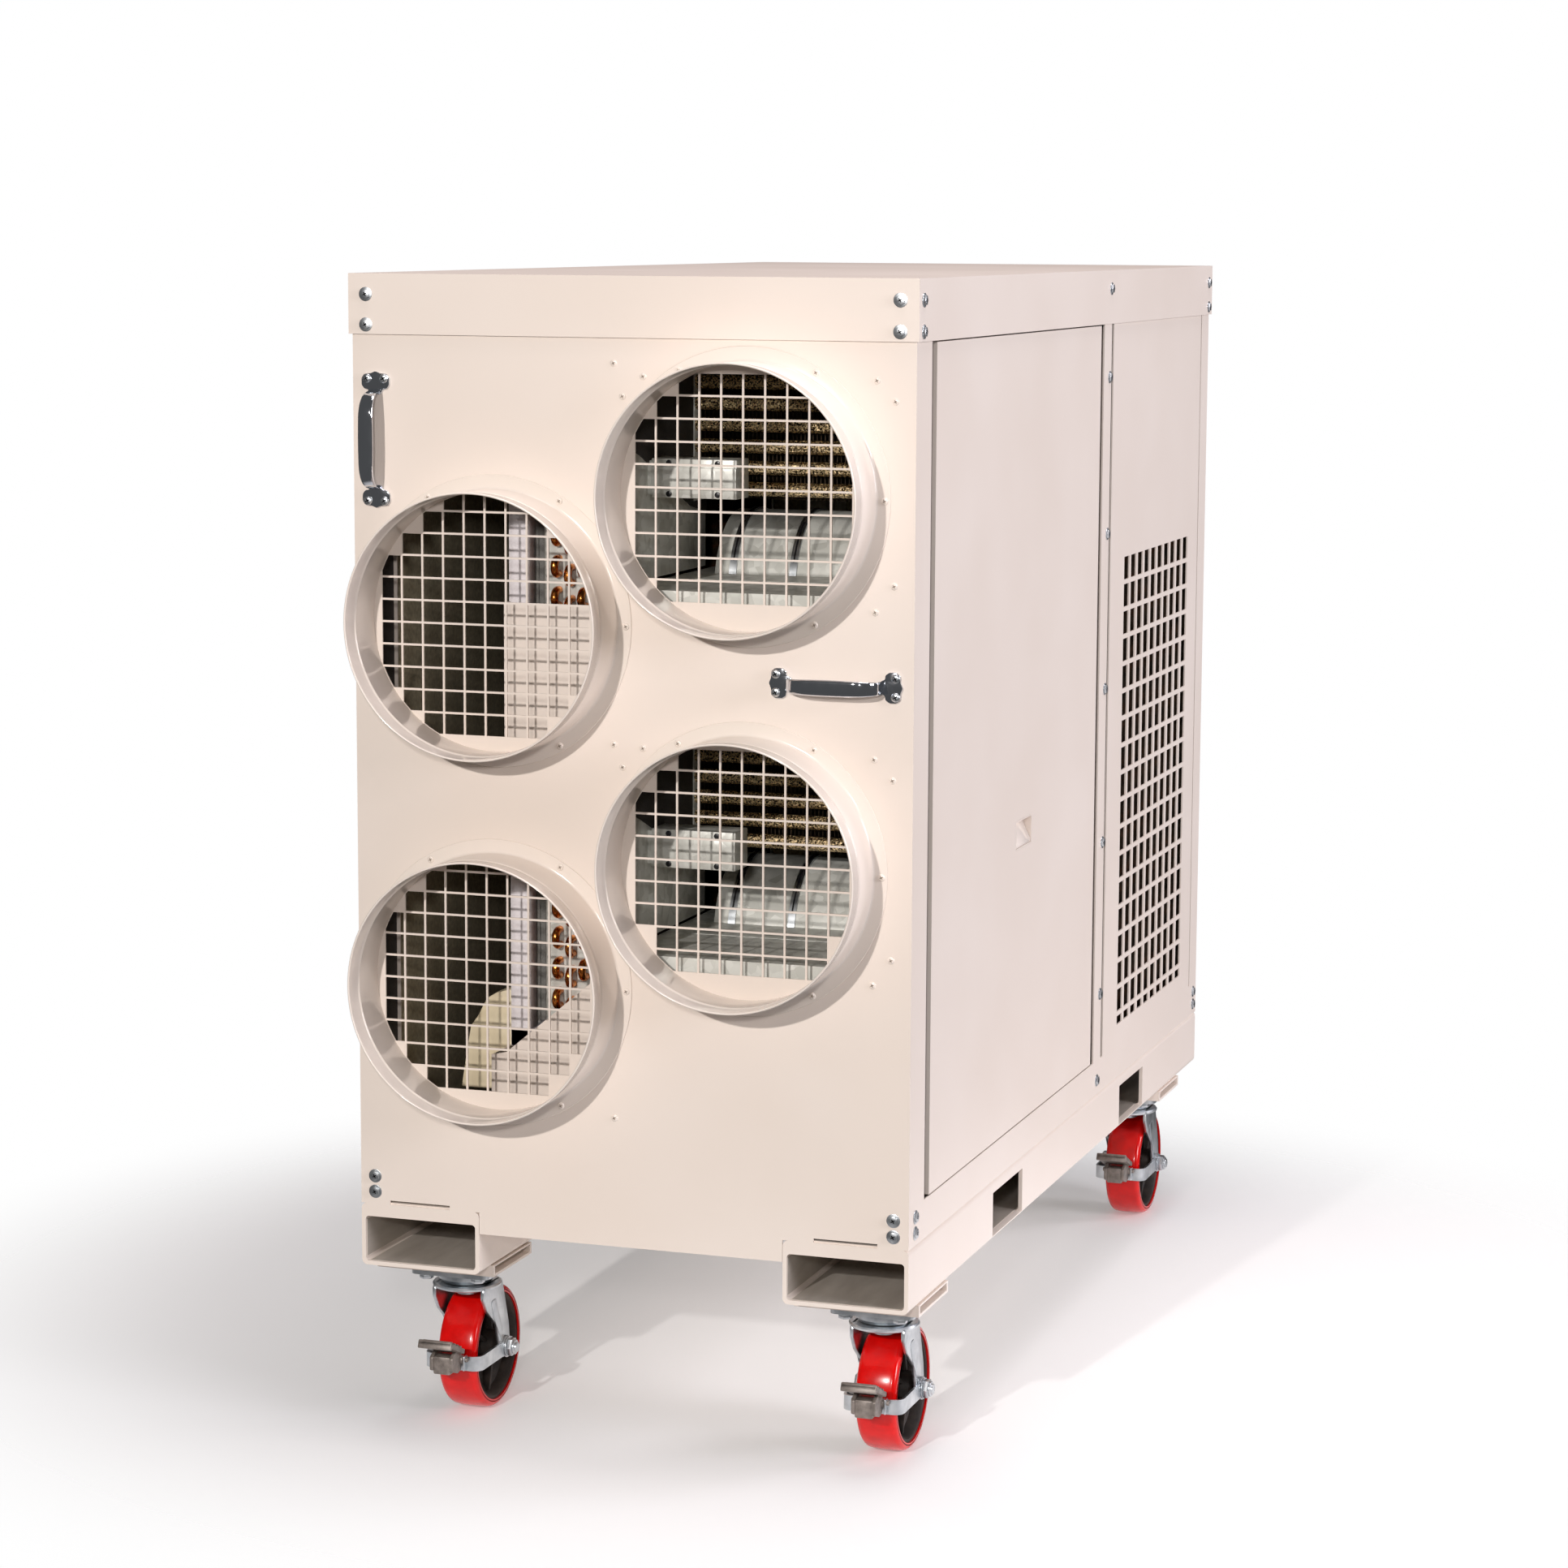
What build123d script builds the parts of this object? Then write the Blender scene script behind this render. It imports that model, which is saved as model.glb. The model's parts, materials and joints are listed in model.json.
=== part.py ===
from build123d import *
import os
from math import cos, hypot, radians, sin, tan

# Portable air conditioner on casters: a folded-sheet cabinet with four round duct
# collars on its front, on a fork-pocket base with four swivel casters.
# Millimetres, +Z up, the front faces -Y. The origin is on the floor, under the
# middle of the whole machine.

os.makedirs("parts", exist_ok=True)

# ---- overall sizes -------------------------------------------------------------
cabinet_width = 684.0
cabinet_depth = 1481.0
cabinet_height = 1180.0  # underside of the fork tubes to the top of the lid
sheet = 2.0  # folded steel sheet
clear = 0.5  # gap left round a piece that only sits in place

# ---- casters -------------------------------------------------------------------
caster_height = 190.0  # floor to the top of the mounting plate
wheel_radius = 76.0
wheel_width = 50.0
tread_depth = 10.0
hub_radius = 19.0
trail = 38.0  # from the swivel axis back to the axle
plate_length = 114.0
plate_width = 102.0
plate_thickness = 6.0
bolt_span_x = 67.0
bolt_span_y = 92.0
bolt_radius = 4.8
axle_radius = 6.35
axle_fit = 0.07  # running clearance on the radius
kingpin_radius = 8.0
kingpin_fit = 0.4
fork_sheet = 5.0
fork_gap = 4.0  # wheel face to fork leg
strap_height = 18.0
strap_sheet = 3.0
pedal_width = 44.0
pedal_reach = 46.0
pedal_tilt = 24.0
caster_shift = 16.0  # the plates sit this far to the right of the tube centres
front_caster_inset = 104.0  # front of the cabinet to the swivel axis
rear_caster_inset = 166.0

# ---- base ----------------------------------------------------------------------
pad_height = 14.0
pad_lip = 3.0
tube_width = 152.0
tube_height = 76.0
tube_wall = 5.0
tube_roof = 16.0
tube_corner = 7.0
sleeve_front = 429.0  # front of the cabinet to the middle of the cross sleeve
sleeve_rear = 1078.0
sleeve_width = 138.0
rail_height = 46.0
apron_drop = 26.0  # how far the end aprons hang below the rails between the tubes
slot_length = 77.0
slot_height = 5.0
deck_lip = 25.0

# ---- cabinet skin --------------------------------------------------------------
skirt_height = 70.0
lid_proud = 3.5
front_return = 60.0
rear_return = 44.0
front_gap = 19.0  # dark gap behind the front return
access_width = 762.0
access_gap = 16.0
post_width = 40.0
rear_panel_gap = 11.0
panel_fold = 18.0
seam = 2.0

# ---- duct collars and guards ---------------------------------------------------
collar_radius = 153.4
collar_length = 81.0
collar_wall = 1.2
flange_width = 17.0
flange_sheet = 1.5
rim_roll = 0.7
bead_back = 27.0
bead_depth = 1.6
left_edge_gap = 5.5  # cabinet side to the flange of a left collar
right_edge_gap = 28.6
top_edge_gap = 7.0  # lid skirt to the flange of the upper right collar
collar_pitch = 425.5
column_drop = 151.7  # a left collar stands this far below its right neighbour
guard_pitch = 26.2
guard_bar = 2.4
guard_columns = 10
# How far each grid's middle stands from its collar's, and the holes left out at each
# end of its rows, counted from the top row down.
guard_shifts = {
    "duct_collar_upper_right": (-4.9, 8.7),
    "duct_collar_lower_right": (-4.9, 6.0),
    "duct_collar_upper_left": (-11.7, -4.6),
    "duct_collar_lower_left": (-11.7, -1.5),
}
guard_steps = {
    "duct_collar_upper_right": (2, 1, 0, 0, 0, 0, 0, 0, 0, 1),
    "duct_collar_lower_right": (2, 1, 0, 0, 0, 0, 0, 0, 1, 1),
    "duct_collar_upper_left": (3, 2, 1, 0, 0, 0, 0, 0, 0, 1, 2),
    "duct_collar_lower_left": (3, 2, 1, 0, 0, 0, 0, 0, 0, 1, 2),
}
# Painted screws round each right collar, as distances in from the flange's outline box:
# from its side, its top and its foot, and for the pair at its top left.
pair_right = ((17.4, 36.4, 45.4), (-4.6, 59.4, 75.4))
pair_left = ((45.4, 36.4), (20.4, 59.4))
divider_shift = -6.2  # from halfway between the two columns of collars

# ---- handles and pulls ---------------------------------------------------------
handle_length = 166.0
handle_reach = 38.0
handle_width = 20.0
handle_sheet = 5.0
handle_foot = 24.0
handle_screw_gap = 21.0
handle_plate = 3.5
notch_radius = 4.5  # cut in the bar round each screw head
notch_depth = 2.6
pull_width = 75.0
pull_height = 37.0
pull_depth = 16.0

# ---- grilles -------------------------------------------------------------------
grille_columns = 10
grille_rows = 17
grille_pitch_y = 39.2
grille_pitch_z = 37.2
grille_hole_y = 29.0
grille_hole_z = 31.0
grille_short_row = 12.0
grille_foot = 28.0  # rail to the short bottom row

# ---- inside --------------------------------------------------------------------
filter_thickness = 25.0
filter_gap = 18.5  # filter to the coil
filter_drop = 30.0  # the filters hang this far below the coils
coil_thickness = 76.0
coil_length = 600.0
coil_height = 270.0
coil_back = 108.0  # front panel to the coils' end plates
coil_set_back = 50.0  # coil face to the divider
coil_drop = 162.3  # upper right collar's middle to the foot of the upper coil
coil_rise = 481.0  # foot of the lower coil to the foot of the upper one
bend_radius = 9.0
bend_pitch_x = 16.7
bend_pitch_z = 37.0
bend_inset = 15.4
bend_start = 30.5
bend_offsets = (0.0, -10.0, 0.0)  # each column's shift from the first
copper_radius = 4.6
blank_back = 80.0  # front panel to the plates that close the bays under the coils
blank_slope = 40.0
reheat_back = 250.0  # front panel to the coils over the blowers
reheat_thickness = 60.0
reheat_low = 86.0  # above the shelf
reheat_high = 250.0
shelf_drop = 110.0  # right-hand collar's middle to the shelf
blower_drop = 24.0  # shelf to the blower shaft
blower_radius = 82.0
blower_width = 190.0
blower_gap = 35.0  # divider to the blower housing
blower_back = 340.0  # front panel to the blower shaft
shaft_radius = 6.0
shaft_fit = 0.08
fan_clearance = 23.0  # fan tip to the condenser coils
fan_hub_radius = 45.0
condenser_thickness = 44.0
compressor_radius = 95.0
compressor_height = 330.0
knob_radius = 17.0
knob_length = 16.0

# ---- fasteners -----------------------------------------------------------------
big_head_radius = 6.6
big_head_height = 3.6
big_shank_radius = 2.9
small_head_radius = 3.6
small_head_height = 1.6
small_shank_radius = 1.7
hole_fit = 0.35

# ---- places worked out from the sizes above ------------------------------------
lift = caster_height + pad_height
left = -cabinet_width / 2
right = cabinet_width / 2
front = (collar_length - knob_length - cabinet_depth) / 2
rear = front + cabinet_depth
rail_bottom = lift + tube_height
rail_top = rail_bottom + rail_height
top = lift + cabinet_height
skirt_bottom = top - skirt_height
flange_radius = collar_radius + flange_width
screw_circle = collar_radius + 0.6 * flange_width
right_column = right - right_edge_gap - flange_radius
left_column = left + left_edge_gap + flange_radius
upper_right_z = skirt_bottom - top_edge_gap - flange_radius
collar_spots = {
    "duct_collar_upper_right": (right_column, upper_right_z),
    "duct_collar_lower_right": (right_column, upper_right_z - collar_pitch),
    "duct_collar_upper_left": (left_column, upper_right_z - column_drop),
    "duct_collar_lower_left": (left_column, upper_right_z - column_drop - collar_pitch),
}
access_front = front + front_return + front_gap
access_rear = access_front + access_width
post_front = access_rear + access_gap
post_rear = post_front + post_width
side_front = post_rear + rear_panel_gap
side_rear = rear - rear_return - 5.0
divider_x = (left_column + right_column) / 2 + divider_shift
caster_xs = {
    "left": left + tube_width / 2 + caster_shift,
    "right": right - tube_width / 2 + caster_shift,
}
caster_ys = {
    "front": front + front_caster_inset,
    "rear": rear - rear_caster_inset,
}
caster_places = {
    f"{end}_{side}": (caster_xs[side], caster_ys[end])
    for end in caster_ys
    for side in caster_xs
}


# ---- small tools ---------------------------------------------------------------
def block(x0, x1, y0, y1, z0, z1):
    """A box between two corners."""
    size = Box(x1 - x0, y1 - y0, z1 - z0, align=(Align.MIN, Align.MIN, Align.MIN))
    return Pos(x0, y0, z0) * size


def rod(start, axis, radius, length):
    """A cylinder that starts at a point and runs along X, Y or Z."""
    turn = {"X": Rot(0, 90, 0), "Y": Rot(-90, 0, 0), "Z": Rot(0, 0, 0)}[axis]
    stub = Cylinder(radius, length, align=(Align.CENTER, Align.CENTER, Align.MIN))
    return Pos(*start) * turn * stub


def tube(start, axis, outer, inner, length):
    return rod(start, axis, outer, length) - rod(start, axis, inner, length)


def plate_xz(x0, x1, z0, z1, holes, y, thickness):
    """An upright sheet across X, from y back, with rectangles and circles cut out."""
    outer = Wire.make_polygon([(x0, 0, z0), (x1, 0, z0), (x1, 0, z1), (x0, 0, z1)])
    wires = []
    for hole in holes:
        if len(hole) == 4:
            a, b, c, d = hole
            wires.append(Wire.make_polygon([(a, 0, c), (b, 0, c), (b, 0, d), (a, 0, d)]))
        else:
            a, c, radius = hole
            ring = Plane(origin=(a, 0, c), z_dir=(0, 1, 0))
            wires.append(Wire.make_circle(radius, ring))
    face = Face(outer, wires)
    return Pos(0, y, 0) * Solid.extrude(face, Vector(0, thickness, 0))


def group(shapes):
    return Compound(children=[Solid(s.wrapped) for item in shapes for s in item.solids()])


def save(name, shape):
    solids = shape.solids()
    export_step(Compound(children=solids) if len(solids) > 1 else solids[0], f"parts/{name}.step")


# ---- where the screws go -------------------------------------------------------
# Each spot is a point on an outer face and the way the head points out of it.
def both_sides(y, z, proud=0.0):
    return [((right + proud, y, z), (1, 0, 0)), ((left - proud, y, z), (-1, 0, 0))]


lid_zs = (top - 24.0, top - 59.0)
rail_zs = (rail_top - 12.0, rail_top - 31.0)
lid_spots = []
for z in lid_zs:
    for x in (left + 18.5, right - 18.5):
        lid_spots.append(((x, front - lid_proud, z), (0, -1, 0)))
        lid_spots.append(((x, rear + lid_proud, z), (0, 1, 0)))
    for y in (front + 14.0, rear - 18.0):
        lid_spots += both_sides(y, z, lid_proud)
lid_spots += both_sides(post_front + post_width / 2, lid_zs[0], lid_proud)
rail_spots = []
for z in rail_zs:
    for x in (left + 18.5, right - 18.5):
        rail_spots.append(((x, front, z), (0, -1, 0)))
        rail_spots.append(((x, rear, z), (0, 1, 0)))
    for y in (front + 25.0, rear - 20.0):
        rail_spots += both_sides(y, z)
rail_spots += both_sides(post_front + post_width / 2, rail_top - 27.0)
post_pitch = (skirt_bottom - rail_top - 160.0) / 4
post_zs = [skirt_bottom - 70.0 - i * post_pitch for i in range(5)]
post_spots = [spot for z in post_zs for spot in both_sides(post_front + 30.0, z)]
big_spots = lid_spots + rail_spots + post_spots

pair_spots = []
for k in (0, 1):
    cz = upper_right_z - k * collar_pitch
    for dx, up, down in pair_right:
        x = right_column + flange_radius - dx
        pair_spots += [(x, cz + flange_radius - up), (x, cz - flange_radius + down)]
    for dx, up in pair_left:
        pair_spots.append((right_column - flange_radius + dx, cz + flange_radius - up))
column_zs = (skirt_bottom - 29.0, upper_right_z - collar_pitch / 2 - 76.0, rail_top + 82.0)
small_front = pair_spots + [(divider_x, z) for z in column_zs]

collar_screw_spots = []
for cx, cz in collar_spots.values():
    for k in range(6):
        turn = radians(60 * k)
        collar_screw_spots.append((cx + screw_circle * cos(turn), cz + screw_circle * sin(turn)))

handle_places = {
    "upright": (left + 29.5, skirt_bottom - 122.0),
    "level": (right - 91.5, upper_right_z - 209.0),
}
handle_screw_spots = []
foot_span = handle_length / 2 - handle_foot / 2
for kind, (cx, cz) in handle_places.items():
    for end in (-1, 1):
        for side in (-1, 1):
            along = end * foot_span
            across = side * handle_screw_gap / 2
            dx, dz = (across, along) if kind == "upright" else (along, across)
            handle_screw_spots.append((cx + dx, cz + dz))


def screw(point, way, head_radius, head_height, shank_radius, shank, washer=0.0):
    """A screw with its head outside the face, built along +Z and then turned."""
    body = rod((0, 0, -shank), "Z", shank_radius, shank + head_height / 2)
    head = rod((0, 0, washer), "Z", head_radius, head_height - washer)
    head = fillet(head.edges().sort_by(Axis.Z)[-1:], (head_height - washer) * 0.35)
    if washer:
        body += rod((0, 0, 0), "Z", head_radius * 1.25, washer)
    return Location(Plane(origin=point, z_dir=way)) * (body + head)


def drilled(shape, spots, radius, depth=40.0):
    """Clearance holes through a sheet at the spots that lie on it."""
    box_of_it = shape.bounding_box()
    for point, way in spots:
        start = Vector(*point) + Vector(*way) * 5.0
        near = [
            lo - 6.0 <= p <= hi + 6.0
            for p, lo, hi in zip(point, tuple(box_of_it.min), tuple(box_of_it.max))
        ]
        if all(near):
            hole = Cylinder(radius, depth, align=(Align.CENTER, Align.CENTER, Align.MAX))
            shape -= Location(Plane(origin=tuple(start), z_dir=way)) * hole
    return shape


big_hole = big_shank_radius + hole_fit
small_hole = small_shank_radius + hole_fit


# ---- base ----------------------------------------------------------------------
def fork_tube(x0):
    """One lengthwise tube, with a fork pocket through it and two across it."""
    x1 = x0 + tube_width
    outer = Pos(x0 + tube_width / 2, 0, lift + tube_height / 2) * Rot(90, 0, 0) * (
        RectangleRounded(tube_width, tube_height, tube_corner)
    )
    body = Pos(0, rear, 0) * extrude(outer, cabinet_depth)
    body = body & block(x0, x1, front, rear, lift, lift + tube_height)
    pocket = block(x0 + tube_wall, x1 - tube_wall, front - 1, rear + 1,
                   lift + tube_wall, rail_bottom - tube_roof)
    pocket = fillet(pocket.edges().filter_by(Axis.Y), tube_corner - tube_wall / 2)
    body -= pocket
    for y in (sleeve_front, sleeve_rear):
        body -= block(x0 - 1, x1 + 1, front + y - sleeve_width / 2, front + y + sleeve_width / 2,
                      lift + tube_wall, rail_bottom - tube_roof)
    return body


save("fork_tube_left", fork_tube(left))
save("fork_tube_right", fork_tube(right - tube_width))

sleeves = []
for y in (sleeve_front, sleeve_rear):
    y0 = front + y - sleeve_width / 2
    y1 = y0 + sleeve_width
    outer = block(left + tube_width, right - tube_width, y0 - tube_wall, y1 + tube_wall,
                  lift, rail_bottom - tube_roof + tube_wall)
    sleeves.append(outer - block(left, right, y0, y1, lift + tube_wall, rail_bottom - tube_roof))
save("cross_sleeves", group(sleeves))

pads = []
for cx, cy in caster_places.values():
    half = plate_length / 2 + 3.0
    tube_x = left if cx < 0 else right - tube_width
    pad = block(tube_x, tube_x + tube_width, cy - half, cy + half, caster_height, lift)
    pad -= block(tube_x - 1, tube_x + tube_width + 1, cy - half + 5, cy + half - 5,
                 caster_height + pad_lip, lift - 2.0)
    for sx in (-1, 1):
        for sy in (-1, 1):
            hole = rod((cx + sx * bolt_span_x / 2, cy + sy * bolt_span_y / 2, caster_height - 1),
                       "Z", bolt_radius + hole_fit, pad_lip + 2)
            pad -= hole
    pads.append(pad)
save("caster_pads", group(pads))

# The deck is a tray that closes the cabinet's floor, with a lip down to each end.
deck = block(left + sheet, right - sheet, front + sheet, rear - sheet,
             rail_bottom, rail_bottom + sheet)
for x0, x1 in ((left + sheet, left + 2 * sheet), (right - 2 * sheet, right - sheet)):
    deck += block(x0, x1, front + sheet, rear - sheet, rail_bottom, rail_bottom + deck_lip)
deck = drilled(deck, rail_spots, big_hole)
save("base_deck", deck)


def end_rail(y0, y1):
    """A rail across one end; its apron hangs between the fork tubes."""
    inner_left = left + tube_width + clear
    inner_right = right - tube_width - clear
    body = block(left, right, y0, y1, rail_bottom, rail_top)
    body += block(inner_left, inner_right, y0, y1, rail_bottom - apron_drop, rail_bottom)
    for x in (left + tube_width / 2, right - tube_width / 2):
        body -= block(x - slot_length / 2, x + slot_length / 2, y0 - 1, y1 + 1,
                      rail_bottom, rail_bottom + slot_height)
    return drilled(body, rail_spots, big_hole)


save("end_rails", group([end_rail(front, front + sheet), end_rail(rear - sheet, rear)]))

side_rails = []
for x0, x1 in ((left, left + sheet), (right - sheet, right)):
    rail = block(x0, x1, front + sheet, rear - sheet, rail_bottom, rail_top)
    side_rails.append(drilled(rail, rail_spots, big_hole))
save("side_rails", group(side_rails))


# ---- cabinet skin --------------------------------------------------------------
throat_radius = collar_radius - collar_wall - 0.4
whole_holes = []
cut_holes = []


def guard_holes(name):
    """Square holes behind one collar; its wall cuts short the ones that pass under it."""
    cx, cz = collar_spots[name]
    shift_x, shift_z = guard_shifts[name]
    steps = guard_steps[name]
    half = (guard_pitch - guard_bar) / 2
    wall = rod((cx, front - 1, cz), "Y", throat_radius, sheet + 2)
    for row, step in enumerate(steps):
        z = shift_z + (row_middle(steps) - row) * guard_pitch
        for column in range(step, guard_columns - step):
            x = shift_x + (column - (guard_columns - 1) / 2) * guard_pitch
            far = hypot(abs(x) + half, abs(z) + half)
            near = hypot(abs(x) - half, abs(z) - half)
            if far < throat_radius:
                whole_holes.append((cx + x - half, cx + x + half, cz + z - half, cz + z + half))
            elif near < throat_radius - guard_bar:
                cut_holes.append(wall & block(cx + x - half, cx + x + half, front - 1, front + sheet + 1,
                                              cz + z - half, cz + z + half))


def row_middle(steps):
    """The grids share a middle line; the left ones have one more row on top."""
    return len(steps) - 5.5


for name in collar_spots:
    guard_holes(name)
front_holes = whole_holes + [(x, z, small_hole) for x, z in small_front + collar_screw_spots]
front_holes += [(x, z, small_hole) for x, z in handle_screw_spots]
front_panel = plate_xz(left, right, rail_top, top - 2 * sheet, front_holes, front, sheet)
front_panel -= cut_holes
for x0, x1 in ((left, left + sheet), (right - sheet, right)):
    front_panel += block(x0, x1, front + sheet, front + front_return, rail_top, top - 2 * sheet)
save("front_panel", drilled(front_panel, lid_spots, big_hole))

rear_fan_z = rail_top + 0.62 * (skirt_bottom - rail_top)
rear_holes = []
rear_half = (guard_pitch - guard_bar) / 2
condenser_inner = right - sheet - 8 - condenser_thickness
fan_radius = condenser_inner - fan_clearance
reach = int(fan_radius * 0.94 / guard_pitch)
for i in range(-reach, reach + 1):
    for k in range(-reach, reach + 1):
        if hypot(i, k) * guard_pitch < fan_radius * 0.94:
            x = i * guard_pitch
            z = rear_fan_z + k * guard_pitch
            rear_holes.append((x - rear_half, x + rear_half, z - rear_half, z + rear_half))
control_width = 230.0
control_height = 150.0
control_x = left + 190.0
control_z = rail_top + 110.0
rear_holes.append((control_x - control_width / 2 + 6, control_x + control_width / 2 - 6,
                   control_z - control_height / 2 + 6, control_z + control_height / 2 - 6))
rear_panel = plate_xz(left, right, rail_top, top - 2 * sheet, rear_holes, rear - sheet, sheet)
for x0, x1 in ((left, left + sheet), (right - sheet, right)):
    rear_panel += block(x0, x1, rear - rear_return, rear - sheet, rail_top, top - 2 * sheet)
save("rear_panel", drilled(rear_panel, lid_spots, big_hole))

lid = block(left - lid_proud, right + lid_proud, front - lid_proud, rear + lid_proud,
            skirt_bottom, top)
lid -= block(left - lid_proud + sheet, right + lid_proud - sheet, front - lid_proud + sheet,
             rear + lid_proud - sheet, skirt_bottom - 1, top - sheet)
save("top_lid", drilled(lid, lid_spots, big_hole))

# The bulkhead's side returns are the posts between the access and rear side panels.
bulkhead = block(left + sheet, right - sheet, post_front + post_width / 2,
                 post_front + post_width / 2 + sheet, rail_bottom + sheet, skirt_bottom - 6)
bulkhead -= block(left, left + 2 * sheet, post_front, post_rear, rail_bottom, rail_bottom + deck_lip)
bulkhead -= block(right - 2 * sheet, right, post_front, post_rear, rail_bottom, rail_bottom + deck_lip)
for x0, x1 in ((left, left + sheet), (right - sheet, right)):
    bulkhead += block(x0, x1, post_front, post_rear, rail_top, top - 2 * sheet)
save("bulkhead", drilled(bulkhead, big_spots, big_hole))


def access_panel(side):
    """A lift-off pan with folded edges and a recessed pull cup set into it."""
    y0 = access_front + clear
    y1 = access_rear - clear
    z0 = rail_top + seam
    z1 = skirt_bottom - seam
    pull_y = front + 0.3255 * cabinet_depth
    pull_z = rail_top + 0.3735 * (skirt_bottom - rail_top)
    pan = block(right - panel_fold, right, y0, y1, z0, z1)
    pan -= block(right - panel_fold - 1, right - sheet, y0 + sheet, y1 - sheet, z0 + sheet, z1 - sheet)
    pan -= block(right - sheet - 1, right + 1, pull_y - pull_width / 2, pull_y + pull_width / 2,
                 pull_z - pull_height / 2, pull_z + pull_height / 2)
    gap = 0.2
    cup = block(right - pull_depth, right, pull_y - pull_width / 2 + gap, pull_y + pull_width / 2 - gap,
                pull_z - pull_height / 2 + gap, pull_z + pull_height / 2 - gap)
    cup -= block(right - pull_depth + sheet, right + 1,
                 pull_y - pull_width / 2 + sheet, pull_y + pull_width / 2 - sheet,
                 pull_z - pull_height / 2 + sheet, pull_z + pull_height / 2 - sheet)
    if side == "left":
        return [mirror(pan, about=Plane.YZ), mirror(cup, about=Plane.YZ)]
    return [pan, cup]


save("access_panel_right", group(access_panel("right")))
save("access_panel_left", group(access_panel("left")))

# The rear side panels carry a square-hole grille over the condenser.
side_width = side_rear - side_front
grille_left = (side_width - (grille_columns * grille_pitch_y - (grille_pitch_y - grille_hole_y))) / 2 + 8.0
side_holes = []
for column in range(grille_columns):
    a = grille_left + column * grille_pitch_y
    base = rail_top + grille_foot
    side_holes.append((a, a + grille_hole_y, base, base + grille_short_row))
    for row in range(grille_rows):
        c = base + grille_short_row + (grille_pitch_z - grille_hole_z) + row * grille_pitch_z
        side_holes.append((a, a + grille_hole_y, c, c + grille_hole_z))
side_sheet = plate_xz(0, side_width, rail_top, top - 2 * sheet, side_holes, 0, sheet)
side_sheet = Pos(right, side_front, 0) * Rot(0, 0, 90) * side_sheet
save("side_panels", group([side_sheet, mirror(side_sheet, about=Plane.YZ)]))

strips = []
strip_depth = 10.0
for x0, x1 in ((left + strip_depth, left + strip_depth + 4), (right - strip_depth - 4, right - strip_depth)):
    strips.append(block(x0, x1, front + front_return - 14, access_front - clear, rail_top, skirt_bottom))
    strips.append(block(x0, x1, access_rear + clear, post_front + 12, rail_top, skirt_bottom))
save("gap_strips", group(strips))


# ---- duct collars --------------------------------------------------------------
def duct_collar(cx, cz):
    """A short spigot with a screwed flange, a rolled bead and a rolled rim."""
    outer = collar_radius
    inner = collar_radius - collar_wall
    face = front - flange_sheet
    tip = front - collar_length
    bead_y = tip + bead_back
    outline = Polyline(
        (inner, front), (flange_radius, front), (flange_radius, face), (outer, face),
        (outer, bead_y + 4), (outer - bead_depth, bead_y), (outer, bead_y - 4),
        (outer, tip + 5), (outer + rim_roll, tip + 3), (outer + rim_roll, tip),
        (inner, tip), (inner, bead_y - 4), (inner - bead_depth, bead_y), (inner, bead_y + 4),
        close=True,
    )
    ring = revolve(make_face(outline), axis=Axis.Y)
    ring = Pos(cx, 0, cz) * ring
    for k in range(6):
        turn = radians(60 * k)
        ring -= rod((cx + screw_circle * cos(turn), face - 1, cz + screw_circle * sin(turn)), "Y",
                    small_hole, flange_sheet + 2)
    return ring


for name, (cx, cz) in collar_spots.items():
    save(name, duct_collar(cx, cz))

painted = [(x, front - flange_sheet, z) for x, z in collar_screw_spots]
painted += [(x, front, z) for x, z in small_front]
save("painted_screws", group([
    screw(point, (0, -1, 0), small_head_radius, small_head_height, small_shank_radius, 7.0)
    for point in painted]))
save("corner_screws", group([
    screw(point, way, big_head_radius, big_head_height, big_shank_radius, 11.0, washer=1.0)
    for point, way in big_spots]))


# ---- handles -------------------------------------------------------------------
def pull_handle(kind, cx, cz):
    """A bent oval bar on two winged feet."""
    reach_y = front - handle_reach + 5.0
    rise = handle_length / 2 - handle_foot / 2
    path = FilletPolyline(
        (0, front - 2.0, -rise), (0, reach_y, -rise + 17), (0, reach_y, rise - 17),
        (0, front - 2.0, rise), radius=14.0,
    )
    section = Plane(origin=path @ 0, x_dir=(1, 0, 0), z_dir=path % 0) * RectangleRounded(
        handle_width, handle_sheet, handle_sheet * 0.45)
    bar = sweep(section, path=path)
    body = bar & block(-50, 50, front - 200, front - 1.0, -200, 200)
    for end in (-1, 1):
        for side in (-1, 1):
            body -= rod((side * handle_screw_gap / 2, front - handle_plate - notch_depth, end * rise), "Y",
                        notch_radius, handle_plate + notch_depth)
        wing = RectangleRounded(handle_screw_gap + 15.0, 17.0, 8.0)
        neck = Pos(0, -end * 6.0) * RectangleRounded(15.0, handle_foot + 5, 7.0)
        foot = Plane(origin=(0, front, end * rise), z_dir=(0, -1, 0), x_dir=(1, 0, 0)) * (wing + neck)
        foot = extrude(foot, handle_plate)
        for side in (-1, 1):
            foot -= rod((side * handle_screw_gap / 2, front - 10, end * rise), "Y", small_hole, 20)
        body += foot
    if kind == "level":
        body = Rot(0, 90, 0) * body
    return Pos(cx, 0, cz) * body


save("door_handles", group([pull_handle(kind, *spot) for kind, spot in handle_places.items()]))
save("handle_screws", group([
    screw((x, front - handle_plate, z), (0, -1, 0), small_head_radius * 1.15, small_head_height * 1.3,
          small_shank_radius, 9.0) for x, z in handle_screw_spots]))


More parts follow.
